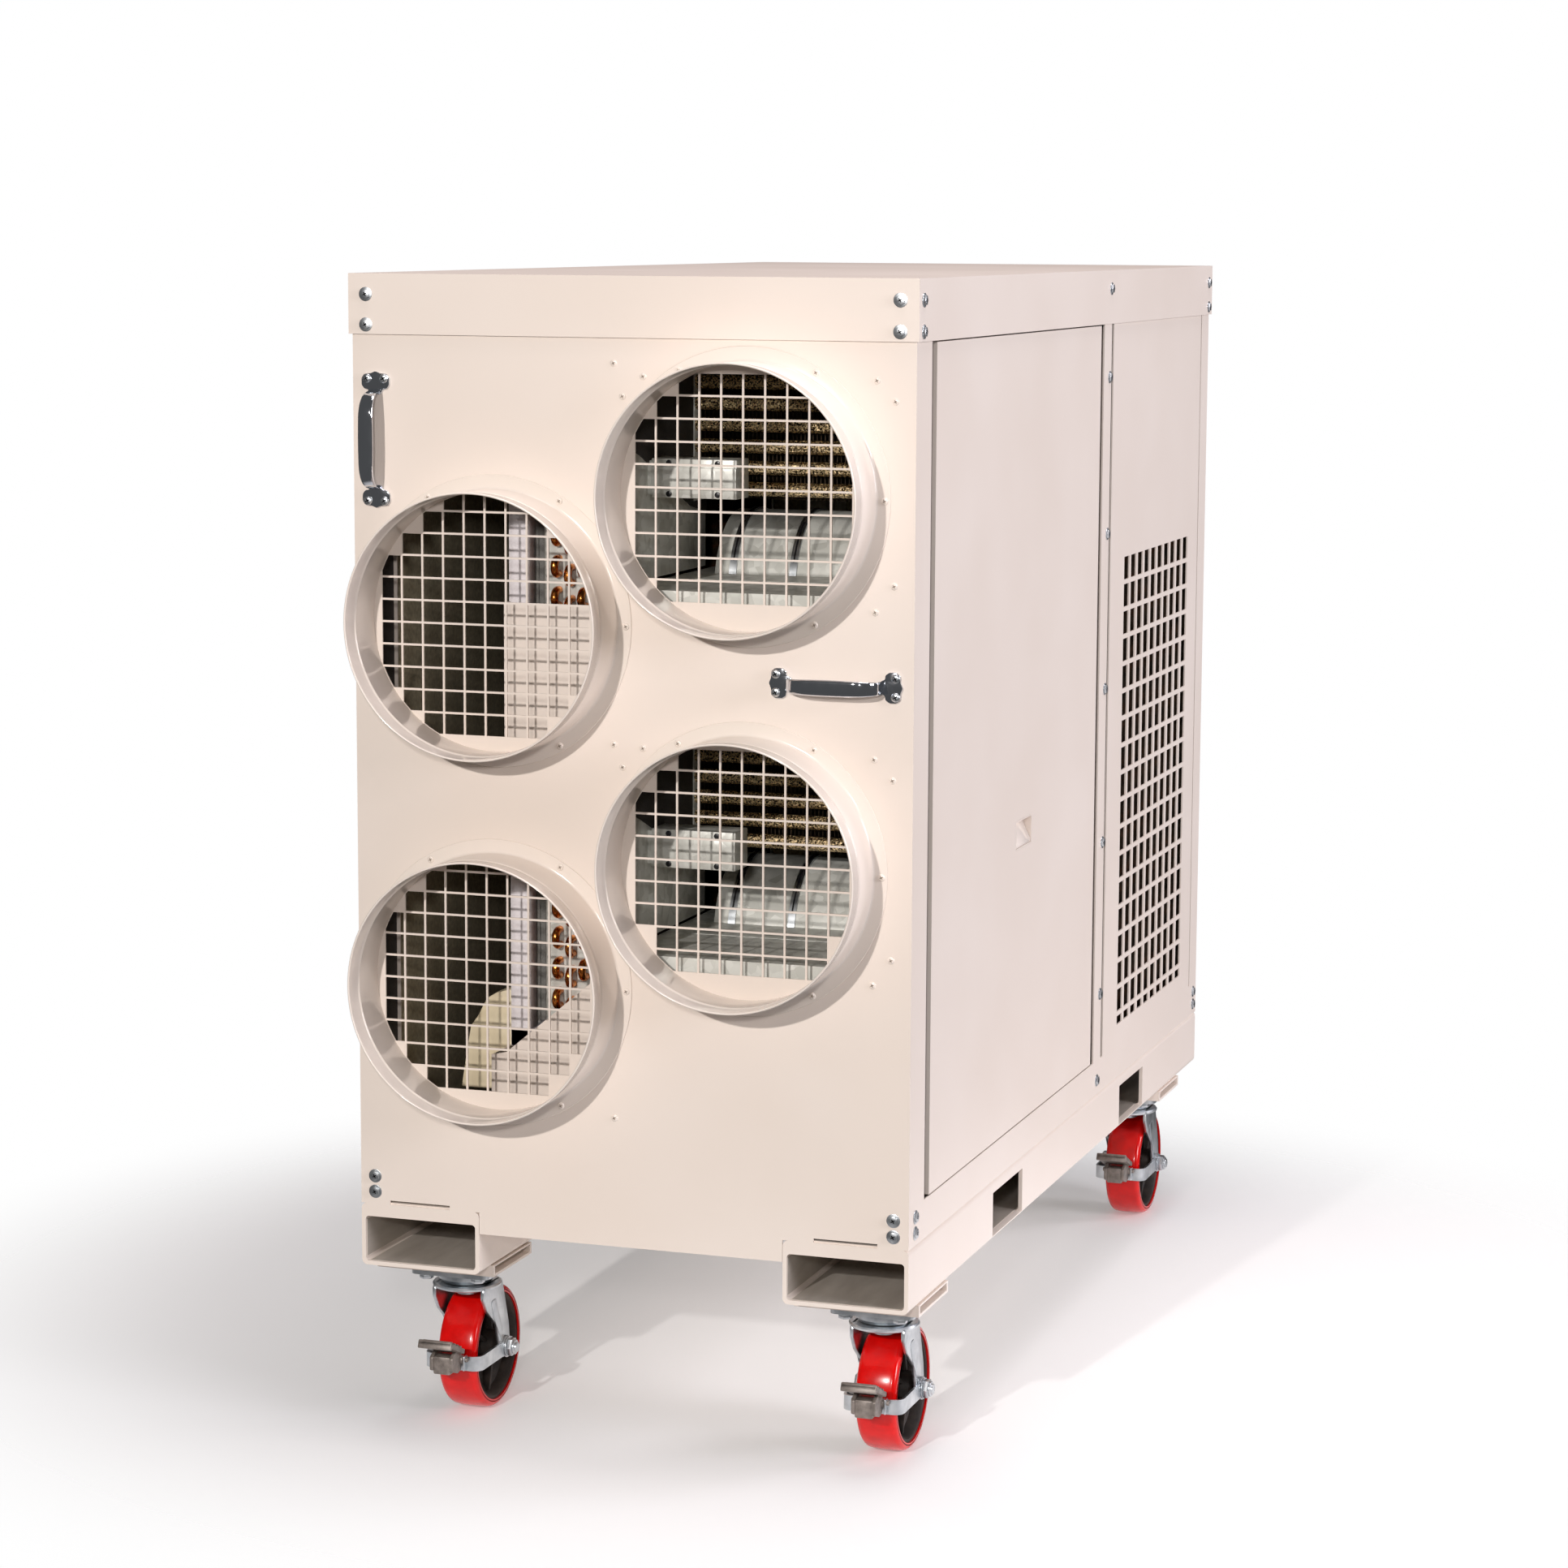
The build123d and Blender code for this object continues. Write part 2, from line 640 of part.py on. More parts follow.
# ---- air-handling section ------------------------------------------------------
# Two stages, one above the other. Air enters the left bay, crosses a filter and a
# coil, and a blower in the right bay sends it out of the right-hand collars.
bay_rear = post_front + post_width / 2 - 2.0
blower_y = front + blower_back
shelf_zs = [z - shelf_drop for z in (upper_right_z, upper_right_z - collar_pitch)]
coil_x1 = divider_x - coil_set_back
coil_x0 = coil_x1 - coil_thickness
coil_y0 = front + coil_back
coil_y1 = coil_y0 + coil_length
coil_z0s = [upper_right_z - coil_drop - k * coil_rise for k in (0, 1)]
filter_x0 = coil_x0 - filter_thickness - filter_gap

divider = block(divider_x, divider_x + sheet, front + sheet, bay_rear, rail_bottom + sheet, skirt_bottom - 8)
divider += block(divider_x - 22, divider_x, front + sheet, front + 2 * sheet,
                 rail_bottom + sheet, skirt_bottom - 8)
for z0 in coil_z0s:
    divider -= block(divider_x - 1, divider_x + sheet + 1, coil_y0 + 6, coil_y1 - 6,
                     z0 + 6, z0 + coil_height - 6)
for x, z in small_front + collar_screw_spots:
    if divider_x - 30 < x < divider_x + 8:
        divider -= rod((x, front, z), "Y", small_hole, 9.0)
inner_sheets = [divider]
blank_y = front + blank_back
blank_x1 = divider_x - 1.0
floor_z = rail_bottom + sheet
# Under the upper coil: a plate whose left edge folds back beside the filter.
upper_low = coil_z0s[1] + coil_height + 3.0
upper_high = coil_z0s[0] + 25.0
fold_high = coil_z0s[0] - filter_drop - 2.0
upper_blank = block(filter_x0, blank_x1, blank_y, blank_y + sheet, upper_low, upper_high)
upper_blank += block(filter_x0, filter_x0 + sheet, blank_y, coil_y0 - 14, upper_low, upper_high)
upper_blank += block(filter_x0, filter_x0 + sheet, blank_y, coil_y0 + 60, upper_low, fold_high)
inner_sheets.append(upper_blank)
# Under the lower coil: a plate with a sloping top edge.
lower_x0 = filter_x0 - 19.0
lower_z1 = coil_z0s[1] - 35.0
lower_slope = tan(radians(blank_slope))
lower_outline = Wire.make_polygon([
    (lower_x0, 0, floor_z), (blank_x1, 0, floor_z),
    (blank_x1, 0, lower_z1 + lower_slope * (blank_x1 - filter_x0)),
    (filter_x0, 0, lower_z1), (lower_x0, 0, lower_z1 - 4.0),
])
lower_blank = Pos(0, blank_y, 0) * Solid.extrude(Face(lower_outline), Vector(0, sheet, 0))
lower_blank += block(lower_x0, lower_x0 + sheet, blank_y, coil_y0 + 60, floor_z, lower_z1 - 4.0)
inner_sheets.append(lower_blank)
save("bay_divider", group(inner_sheets))

shelves = []
for z in shelf_zs:
    shelf = block(divider_x + sheet, right - sheet - 26, front + 14, bay_rear, z - sheet, z)
    shelf += block(divider_x + sheet, right - sheet - 26, front + 14, front + 14 + sheet, z - 20, z - sheet)
    scroll_x0 = divider_x + blower_gap - clear
    shelf -= block(scroll_x0, scroll_x0 + blower_width + 16 + 2 * clear, blower_y - blower_radius - 94,
                   blower_y + blower_radius + 16, z - 30, z + 1)
    shelf -= block(scroll_x0, right, blower_y - 54, blower_y + 54, z - 3, z + 1)
    shelves.append(shelf)
save("blower_shelves", group(shelves))

coils = []
filters = []
for z0 in coil_z0s:
    slab = block(coil_x0, coil_x1, coil_y0 + sheet, coil_y1 - sheet, z0, z0 + coil_height)
    for y in (coil_y0, coil_y1 - sheet):
        slab += block(coil_x0 - 3, coil_x1 + 4, y, y + sheet, z0 - 2, z0 + coil_height + 2)
    coils.append(slab)
    filters.append(block(filter_x0, filter_x0 + filter_thickness, coil_y0 - 12, coil_y1,
                         z0 - filter_drop, z0 + coil_height + 1))
for z in shelf_zs:
    coils.append(block(divider_x + sheet + 4, right - 30, front + reheat_back,
                       front + reheat_back + reheat_thickness, z + reheat_low, z + reheat_high))
save("evaporator_coils", group(coils))
save("air_filters", group(filters))

bends = []
for z0 in coil_z0s:
    for column, offset in enumerate(bend_offsets):
        x = coil_x0 + bend_inset + column * bend_pitch_x
        for row in range(int((coil_height - bend_start) / bend_pitch_z) + 1):
            z = z0 + bend_start + offset + row * bend_pitch_z
            hoop = Torus(bend_radius, copper_radius)
            hoop = Rot(0, 90, 0) * hoop
            half = hoop & block(-30, 30, -40, 0, -40, 40)
            for side in (-1, 1):
                half += rod((0, 0, side * bend_radius), "Y", copper_radius, 6.0)
            bends.append(Pos(x, coil_y0 - 6.0, z) * half)
save("copper_bends", group(bends))

blower_x = divider_x + blower_gap + 8.0 + blower_width / 2
housings = []
motors = []
for k, shelf_z in enumerate(shelf_zs):
    cz = shelf_z - blower_drop
    x0 = blower_x - blower_width / 2 - 8
    x1 = blower_x + blower_width / 2 + 8
    shell = rod((x0, blower_y, cz), "X", blower_radius + 14, x1 - x0)
    shell += block(x0, x1, blower_y - blower_radius - 90, blower_y, cz - blower_radius - 14, shelf_z)
    inside = rod((x0 + sheet, blower_y, cz), "X", blower_radius + 12, x1 - x0 - 2 * sheet)
    inside += block(x0 + sheet, x1 - sheet, blower_y - blower_radius - 92, blower_y,
                    cz - blower_radius - 12, shelf_z - sheet)
    shell -= inside
    shell -= rod((x0 - 1, blower_y, cz), "X", blower_radius * 0.72, x1 - x0 + 2)
    housings.append(shell)

    ring = tube((blower_x - blower_width / 2, blower_y, cz), "X", blower_radius,
                blower_radius - 3, 6)
    ring += tube((blower_x + blower_width / 2 - 6, blower_y, cz), "X", blower_radius,
                 blower_radius - 3, 6)
    web = rod((blower_x - 2, blower_y, cz), "X", blower_radius, 4)
    web += rod((blower_x - 12, blower_y, cz), "X", shaft_radius + 8, 24)
    blades = 24
    for n in range(blades):
        turn = 360 / blades * n
        blade = block(blower_x - blower_width / 2, blower_x + blower_width / 2, -1,
                      1, blower_radius - 12, blower_radius - 0.5)
        web += Pos(0, blower_y, cz) * Rot(turn, 0, 0) * blade
    wheel = ring + web - rod((blower_x - 30, blower_y, cz), "X", shaft_radius + shaft_fit, 60)
    save("blower_wheel_upper" if k == 0 else "blower_wheel_lower", wheel)

    motor = rod((x1 + 10, blower_y, cz), "X", 48, min(70, right - 30 - x1 - 10))
    motor += rod((blower_x - 20, blower_y, cz), "X", shaft_radius, x1 + 12 - blower_x + 20)
    bracket = block(x1 + 20, x1 + 30, blower_y - 52, blower_y + 52, cz - 40, shelf_z - sheet)
    motors.append(motor + bracket)
save("blower_housings", group(housings))

# ---- condenser section ---------------------------------------------------------
condenser_y0 = side_front + grille_left - 6.0
condenser_y1 = rear - rear_return - 12.0
condensers = []
for x0 in (-condenser_inner - condenser_thickness, condenser_inner):
    condensers.append(block(x0, x0 + condenser_thickness, condenser_y0, condenser_y1,
                            rail_top + 12, skirt_bottom - 30))
save("condenser_coils", group(condensers))

fan_y = rear - 62.0
fan_z = rear_fan_z
fan = rod((0, fan_y - 22, fan_z), "Y", fan_hub_radius, 44)
fan_blades = 5
for n in range(fan_blades):
    blade = Pos(0, 0, (fan_hub_radius + fan_radius) / 2 - 8) * Rot(0, 0, 28) * Box(
        fan_radius * 0.36, 2.5, fan_radius - fan_hub_radius)
    fan += Pos(0, fan_y, fan_z) * Rot(0, 360 / fan_blades * n, 0) * blade
fan = fan & rod((0, fan_y - 60, fan_z), "Y", fan_radius, 120)
fan -= rod((0, fan_y - 60, fan_z), "Y", shaft_radius + shaft_fit, 120)
save("condenser_fan", fan)

shroud_y = fan_y - 40.0
shroud = block(left + 62, right - 62, shroud_y, shroud_y + sheet, rail_bottom + 60, skirt_bottom - 40)
shroud -= rod((0, shroud_y - 1, fan_z), "Y", fan_radius + 8, sheet + 2)
shroud += tube((0, shroud_y, fan_z), "Y", fan_radius + 10, fan_radius + 8, 66)
fan_motor = rod((0, fan_y - 190, fan_z), "Y", 62, 130)
fan_motor += rod((0, fan_y - 70, fan_z), "Y", shaft_radius, 95)
for x in (-1, 1):
    arm = block(40, condenser_inner - 4, shroud_y - 8, shroud_y, -9, 9)
    arm = Pos(0, 0, fan_z) * arm
    stay = block(40, 52, fan_y - 130, shroud_y, fan_z - 9, fan_z + 9)
    whole = arm + stay
    fan_motor += whole if x == 1 else mirror(whole, about=Plane.YZ)
save("fan_shroud", shroud)
motors.append(fan_motor)
save("fan_motors", group(motors))

compressor_y = side_front + 150.0
can = rod((60, compressor_y, rail_bottom + sheet + 16), "Z", compressor_radius, compressor_height)
can = fillet(can.edges(), compressor_radius * 0.4)
can += block(60 - 100, 60 + 100, compressor_y - 100, compressor_y + 100,
             rail_bottom + sheet, rail_bottom + sheet + 8)
can += tube((60, compressor_y, rail_bottom + sheet + 8), "Z", 70, 50, 30)
save("compressor", can)

# ---- rear controls -------------------------------------------------------------
box_depth = 90.0
control = block(control_x - control_width / 2, control_x + control_width / 2, rear - sheet - box_depth,
                rear - sheet, control_z - control_height / 2, control_z + control_height / 2)
control -= block(control_x - control_width / 2 + 2, control_x + control_width / 2 - 2,
                 rear - sheet - box_depth + 2, rear - sheet - 2,
                 control_z - control_height / 2 + 2, control_z + control_height / 2 - 2)
knob_x = control_x - 50.0
knob_z = control_z + 18.0
stem_radius = 4.0
control += rod((knob_x, rear - sheet - 14, knob_z), "Y", 9.0, 12.5)
control -= rod((knob_x, rear - sheet - 12, knob_z), "Y", stem_radius + shaft_fit, 20.0)
gland_x = control_x + 60.0
gland = tube((gland_x, rear - sheet - 8, control_z - 30), "Y", 12.0, 7.0, 20.0)
gland += tube((gland_x, rear - sheet, control_z - 30), "Y", 15.0, 7.0, 6.0)
control -= rod((gland_x, rear - sheet - 10, control_z - 30), "Y", 12.0, 20.0)
save("control_box", group([control, gland]))

knob = rod((knob_x, rear + clear - sheet, knob_z), "Y", knob_radius, knob_length - clear + sheet)
knob = fillet(knob.edges().sort_by(Axis.Y)[-1:], 2.5)
for n in range(12):
    turn = radians(30 * n)
    knob -= rod((knob_x + (knob_radius + 0.8) * cos(turn), rear, knob_z + (knob_radius + 0.8) * sin(turn)),
                "Y", 2.4, knob_length + 2)
knob += rod((knob_x, rear - sheet - 11, knob_z), "Y", stem_radius, 14.0)
save("control_knob", knob)


# ---- casters -------------------------------------------------------------------
wheel_half = wheel_width / 2
leg_inner = wheel_half + fork_gap
leg_outer = leg_inner + fork_sheet
strap_inner = leg_outer + 0.2
axle_half = strap_inner + strap_sheet + 13.0
crown_top = caster_height - plate_thickness - 18.0
crown_bottom = crown_top - 6.0
crown_radius = 42.0
hinge_y = trail - wheel_radius - 15.0
hinge_z = wheel_radius + 6.0
pin_radius = 3.0


def caster_plate():
    """The fixed half: bolted plate, upper race and kingpin."""
    plate = block(-plate_width / 2, plate_width / 2, -plate_length / 2, plate_length / 2,
                  caster_height - plate_thickness, caster_height)
    plate = fillet(plate.edges().filter_by(Axis.Z), 9.0)
    for sx in (-1, 1):
        for sy in (-1, 1):
            plate -= rod((sx * bolt_span_x / 2, sy * bolt_span_y / 2, caster_height - 10), "Z",
                         bolt_radius + hole_fit, 20)
    race = rod((0, 0, crown_top + 1.0), "Z", 35.0, caster_height - plate_thickness - crown_top - 1.0)
    race = chamfer(race.edges().sort_by(Axis.Z)[:1], 5.0)
    pin = rod((0, 0, crown_bottom - 6.0), "Z", kingpin_radius, 10.0 + crown_top - crown_bottom)
    pin += rod((0, 0, crown_bottom - 9.0), "Z", 13.0, 8.0)
    return plate + race + pin


def caster_fork():
    """Crown and two legs raked back to the axle, with the axle bolt and its nut."""
    crown = rod((0, 0, crown_bottom), "Z", crown_radius, crown_top - crown_bottom)
    crown -= rod((0, 0, crown_bottom - 1), "Z", kingpin_radius + kingpin_fit, 10)
    leg = make_face(
        FilletPolyline(
            (crown_top, -30), (crown_top, 30), (crown_bottom - 34, 44),
            (wheel_radius, trail + 15), (wheel_radius - 14, trail), (wheel_radius, trail - 15),
            (crown_bottom - 46, 6), (crown_bottom - 14, -24), radius=5.0, close=True,
        )
    )
    legs = []
    for x in (leg_inner, -leg_outer):
        stood = Plane(origin=(x, 0, 0), x_dir=(0, 0, 1), z_dir=(-1, 0, 0))
        legs.append(extrude(stood * leg, -fork_sheet))
    fork = crown + legs[0] + legs[1]
    fork -= block(-leg_inner, leg_inner, -60, 60, crown_bottom - 80, crown_bottom)
    for x in (leg_inner, -leg_outer):
        fork -= rod((x - 1, trail, wheel_radius), "X", axle_radius + hole_fit, fork_sheet + 2)
    axle = rod((-axle_half + 6, trail, wheel_radius), "X", axle_radius, 2 * axle_half - 6)
    head = Pos(-axle_half + 1, trail, wheel_radius) * Rot(0, 90, 0) * extrude(RegularPolygon(10.5, 6), 7)
    nut_hex = RegularPolygon(10.8, 6)
    nut = Pos(axle_half - 12, trail, wheel_radius) * Rot(0, 90, 0) * extrude(nut_hex, 10)
    nut -= rod((axle_half - 20, trail, wheel_radius), "X", axle_radius, 30)
    return [fork, axle + head, nut]


def wheel_core():
    """Cast iron centre: hub, dished web and rim."""
    rim = wheel_radius - tread_depth
    outline = Polyline(
        (-wheel_half - 2, axle_radius + axle_fit), (wheel_half + 2, axle_radius + axle_fit),
        (wheel_half + 2, hub_radius), (5, hub_radius + 5), (4, rim - 10), (wheel_half - 3, rim - 6),
        (wheel_half - 3, rim), (-wheel_half + 3, rim), (-wheel_half + 3, rim - 6), (-4, rim - 10),
        (-5, hub_radius + 5), (-wheel_half - 2, hub_radius), close=True,
    )
    return Pos(0, trail, wheel_radius) * revolve(make_face(outline), axis=Axis.X)


def wheel_tread():
    """The moulded tread, crowned at its shoulders."""
    rim = wheel_radius - tread_depth
    face = Rectangle(wheel_width, tread_depth, align=(Align.CENTER, Align.MIN))
    corners = face.vertices().sort_by(Axis.Y)[-2:]
    face = Pos(0, rim) * fillet(corners, min(tread_depth * 0.75, 7.5))
    return Pos(0, trail, wheel_radius) * revolve(face, axis=Axis.X)


def brake_strap():
    """A band from the axle ends round the front of the wheel, with the pedal's ears."""
    back = trail + 14.0
    nose = trail - wheel_radius - 6.0
    x1 = strap_inner + strap_sheet
    low = wheel_radius - strap_height / 2
    high = wheel_radius + strap_height / 2
    band = block(-x1, x1, nose - strap_sheet, back, low, high)
    band = fillet(band.edges().filter_by(Axis.Z).sort_by(Axis.Y)[:2], 12.0)
    core = block(-strap_inner, strap_inner, nose, back + 1, low - 1, high + 1)
    core = fillet(core.edges().filter_by(Axis.Z).sort_by(Axis.Y)[:2], 9.0)
    band -= core
    band -= rod((-x1 - 1, trail, wheel_radius), "X", axle_radius + hole_fit, 2 * x1 + 2)
    for x in (-20, 18):
        band += block(x, x + 2, hinge_y - 5, nose - strap_sheet + 1, low + 2, hinge_z + 5)
    band -= rod((-30, hinge_y, hinge_z), "X", pin_radius + 0.1, 60)
    return band


def brake_pedal():
    """A ribbed foot pedal on a pin, with the cam lug that presses the tread."""
    tread = Box(pedal_width, pedal_reach, 7, align=(Align.CENTER, Align.MAX, Align.CENTER))
    tread = fillet(tread.edges().filter_by(Axis.Z), 3.0)
    for n in range(4):
        tread += Pos(0, -6 - 10 * n, 4.5) * Box(pedal_width - 6, 3, 3)
    tread = Pos(0, -6, 12) * Rot(-pedal_tilt, 0, 0) * tread
    body = block(-15, 15, -30, -1, -14, 16)
    body += rod((-17.5, 0, 0), "X", 5.2, 35.0)
    pin = rod((-23, 0, 0), "X", pin_radius, 46)
    return Pos(0, hinge_y, hinge_z) * (tread + body + pin)


plates = []
bolts = []
for name, (cx, cy) in caster_places.items():
    spot = Pos(cx, cy, 0)
    plates.append(spot * caster_plate())
    for sx in (-1, 1):
        for sy in (-1, 1):
            at = (cx + sx * bolt_span_x / 2, cy + sy * bolt_span_y / 2)
            under = caster_height - plate_thickness
            head = Pos(at[0], at[1], under - 6.5) * extrude(RegularPolygon(8.6, 6), 6.5)
            shank = rod((at[0], at[1], under - 1), "Z", bolt_radius, plate_thickness + pad_lip + 8)
            bolts.append(head + shank)
    save(f"caster_fork_{name}", group([spot * piece for piece in caster_fork()]))
    save(f"wheel_core_{name}", spot * wheel_core())
    save(f"wheel_tread_{name}", spot * wheel_tread())
    save(f"brake_strap_{name}", spot * brake_strap())
    save(f"brake_pedal_{name}", spot * brake_pedal())
save("caster_plates", group(plates))
save("caster_bolts", group(bolts))
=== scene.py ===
"""Looks for a portable air conditioner: four duct collars, chrome pulls and braked casters."""

import json
import math

import bmesh
import bpy
from mathutils import Matrix, Vector


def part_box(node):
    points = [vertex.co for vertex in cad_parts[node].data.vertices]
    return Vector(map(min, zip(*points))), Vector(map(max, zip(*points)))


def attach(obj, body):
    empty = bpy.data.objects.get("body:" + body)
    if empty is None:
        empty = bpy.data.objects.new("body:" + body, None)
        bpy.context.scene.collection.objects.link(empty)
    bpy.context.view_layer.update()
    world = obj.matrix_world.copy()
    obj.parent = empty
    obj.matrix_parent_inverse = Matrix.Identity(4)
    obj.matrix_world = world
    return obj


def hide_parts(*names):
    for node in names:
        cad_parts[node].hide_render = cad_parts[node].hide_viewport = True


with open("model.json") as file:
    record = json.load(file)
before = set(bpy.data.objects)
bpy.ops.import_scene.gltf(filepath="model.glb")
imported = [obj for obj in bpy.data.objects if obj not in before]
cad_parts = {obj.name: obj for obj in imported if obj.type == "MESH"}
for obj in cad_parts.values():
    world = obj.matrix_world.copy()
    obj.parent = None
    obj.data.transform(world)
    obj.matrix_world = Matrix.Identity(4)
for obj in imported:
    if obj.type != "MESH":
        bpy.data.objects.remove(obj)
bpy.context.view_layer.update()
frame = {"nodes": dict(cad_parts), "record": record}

bl_info = {
    "name": "Portable Air Conditioner Dressing",
    "version": (1, 0, 0),
    "blender": (4, 5, 0),
    "location": "View3D > Sidebar > Air Conditioner",
    "description": "Models the visible pieces and finishes of a portable air conditioner",
    "category": "Add Mesh",
}

MM = 0.001
COLLARS = ("upper_right", "lower_right", "upper_left", "lower_left")
CORNERS = ("front_left", "front_right", "rear_left", "rear_right")
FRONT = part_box("front_panel")[0][1]
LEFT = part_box("front_panel")[0][0]
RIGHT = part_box("front_panel")[1][0]
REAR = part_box("rear_panel")[1][1]
X, Y, Z = Vector((1, 0, 0)), Vector((0, 1, 0)), Vector((0, 0, 1))


# ---- colour and material helpers -----------------------------------------------
def linear(hex_value):
    """A sRGB hex colour as linear red, green, blue and alpha."""
    channels = [int(hex_value[i:i + 2], 16) / 255 for i in (1, 3, 5)]
    return [c / 12.92 if c <= 0.04045 else ((c + 0.055) / 1.055) ** 2.4 for c in channels] + [1.0]


def add_node(tree, kind, settings=None, inputs=None, links=None):
    """Adds one node: attribute settings, input values, and (socket, source) links."""
    node = tree.nodes.new(kind)
    for key, value in (settings or {}).items():
        setattr(node, key, value)
    for key, value in (inputs or {}).items():
        node.inputs[key].default_value = value
    for key, source in (links or {}).items():
        tree.links.new(source, node.inputs[key])
    return node


def new_material(name, **sockets):
    """A material with only a Principled shader, and the coordinates its patterns read."""
    material = bpy.data.materials.new(name)
    material.use_nodes = True
    tree = material.node_tree
    shader = tree.nodes["Principled BSDF"]
    for key, value in sockets.items():
        shader.inputs[key.replace("_", " ")].default_value = value
    place = add_node(tree, "ShaderNodeTexCoord").outputs["Object"]
    return material, tree, shader, place


def speckle(tree, place, size_mm, detail=3.0, stretch=(1, 1, 1)):
    """Noise whose blobs are about size_mm across."""
    source = place
    if stretch != (1, 1, 1):
        source = add_node(tree, "ShaderNodeMapping", inputs={"Scale": stretch},
                          links={"Vector": place}).outputs["Vector"]
    return add_node(tree, "ShaderNodeTexNoise",
                    inputs={"Scale": 1 / (size_mm * MM), "Detail": detail, "Roughness": 0.55},
                    links={"Vector": source}).outputs["Fac"]


def blend_colours(tree, factor, low, high, low_at=0.3, high_at=0.7):
    """Two hex colours mixed by a pattern, through a ramp."""
    ramp = add_node(tree, "ShaderNodeValToRGB", links={"Fac": factor})
    ramp.color_ramp.elements[0].position = low_at
    ramp.color_ramp.elements[1].position = high_at
    ramp.color_ramp.elements[0].color = linear(low)
    ramp.color_ramp.elements[1].color = linear(high)
    return ramp.outputs["Color"]


def spread(tree, factor, low, high):
    """A pattern mapped to a range of roughness."""
    return add_node(tree, "ShaderNodeMapRange", inputs={"To Min": low, "To Max": high},
                    links={"Value": factor}).outputs["Result"]


def bumped(tree, shader, height, strength, distance_mm):
    bump = add_node(tree, "ShaderNodeBump",
                    inputs={"Strength": strength, "Distance": distance_mm * MM},
                    links={"Height": height})
    tree.links.new(bump.outputs["Normal"], shader.inputs["Normal"])


def edge_wear(tree, colour, worn, radius_mm, amount):
    """Lightens the sharp edges of a piece, as handled paint and plating go."""
    bevel = add_node(tree, "ShaderNodeBevel", {"samples": 4}, {"Radius": radius_mm * MM})
    plain = add_node(tree, "ShaderNodeNewGeometry").outputs["Normal"]
    dot = add_node(tree, "ShaderNodeVectorMath", {"operation": "DOT_PRODUCT"},
                   links={0: bevel.outputs["Normal"], 1: plain}).outputs["Value"]
    edge = add_node(tree, "ShaderNodeMapRange",
                    inputs={"From Min": 0.995, "From Max": 0.90, "To Max": amount},
                    links={"Value": dot}).outputs["Result"]
    mix = add_node(tree, "ShaderNodeMix", {"data_type": "RGBA"}, links={"Factor": edge})
    tree.links.new(colour, mix.inputs[6])
    mix.inputs[7].default_value = linear(worn)
    return mix.outputs[2]


# ---- finishes ------------------------------------------------------------------
def cream_powder_coat(name, body, shade, rough, peel):
    """Powder coat baked on folded steel: semi-gloss with a faint orange peel."""
    material, tree, shader, place = new_material(name, Metallic=0.0, IOR=1.5)
    clouds = speckle(tree, place, 260, 2.0)
    colour = blend_colours(tree, clouds, shade, body, 0.35, 0.65)
    tree.links.new(colour, shader.inputs["Base Color"])
    tree.links.new(spread(tree, clouds, rough, rough + 0.08), shader.inputs["Roughness"])
    # Real orange peel is about 1 mm across; drawn at 2.5 mm so that it shows.
    bumped(tree, shader, speckle(tree, place, 2.5, 2.0), peel, 0.05)
    return material


def bright_zinc_plate(name="bright zinc plate"):
    """Bright zinc over stamped steel: cool grey metal, slightly cloudy."""
    material, tree, shader, place = new_material(name, Metallic=1.0)
    clouds = speckle(tree, place, 22, 4.0)
    colour = blend_colours(tree, clouds, "#b4babf", "#dfe3e6")
    tree.links.new(colour, shader.inputs["Base Color"])
    tree.links.new(spread(tree, clouds, 0.24, 0.42), shader.inputs["Roughness"])
    bumped(tree, shader, speckle(tree, place, 1.2), 0.15, 0.05)
    return material


def galvanised_sheet():
    """Hot-dip galvanised sheet: flat spangles 12 mm across, each its own grey."""
    material, tree, shader, place = new_material("galvanised sheet", Metallic=0.1)
    cells = add_node(tree, "ShaderNodeTexVoronoi", inputs={"Scale": 1 / (12 * MM)},
                     links={"Vector": place})
    value = add_node(tree, "ShaderNodeSeparateColor", links={"Color": cells.outputs["Color"]})
    colour = blend_colours(tree, value.outputs["Red"], "#cacac2", "#e8e8e1", 0.0, 1.0)
    tree.links.new(colour, shader.inputs["Base Color"])
    tree.links.new(spread(tree, value.outputs["Green"], 0.30, 0.48), shader.inputs["Roughness"])
    return material


def polished_chrome():
    """Polished chrome plate: near-mirror, with the slow waviness of a pressed strip."""
    material, tree, shader, place = new_material("polished chrome plate", Metallic=1.0)
    shader.inputs["Base Color"].default_value = linear("#dfe3ea")
    smears = speckle(tree, place, 9, 3.0)
    tree.links.new(spread(tree, smears, 0.03, 0.12), shader.inputs["Roughness"])
    bumped(tree, shader, speckle(tree, place, 14, 1.0), 0.12, 0.4)
    return material


def red_urethane():
    """Cast polyurethane tread: saturated red, wet-looking, scuffed where it rolls."""
    material, tree, shader, place = new_material(
        "red cast urethane", Metallic=0.0, IOR=1.4, Coat_Weight=0.2, Coat_Roughness=0.06)
    clouds = speckle(tree, place, 14, 5.0)
    colour = blend_colours(tree, clouds, "#cd0705", "#e20c09")
    tree.links.new(colour, shader.inputs["Base Color"])
    tree.links.new(spread(tree, speckle(tree, place, 9, 2.0), 0.14, 0.26), shader.inputs["Roughness"])
    bumped(tree, shader, speckle(tree, place, 12, 1.0), 0.10, 0.15)
    return material


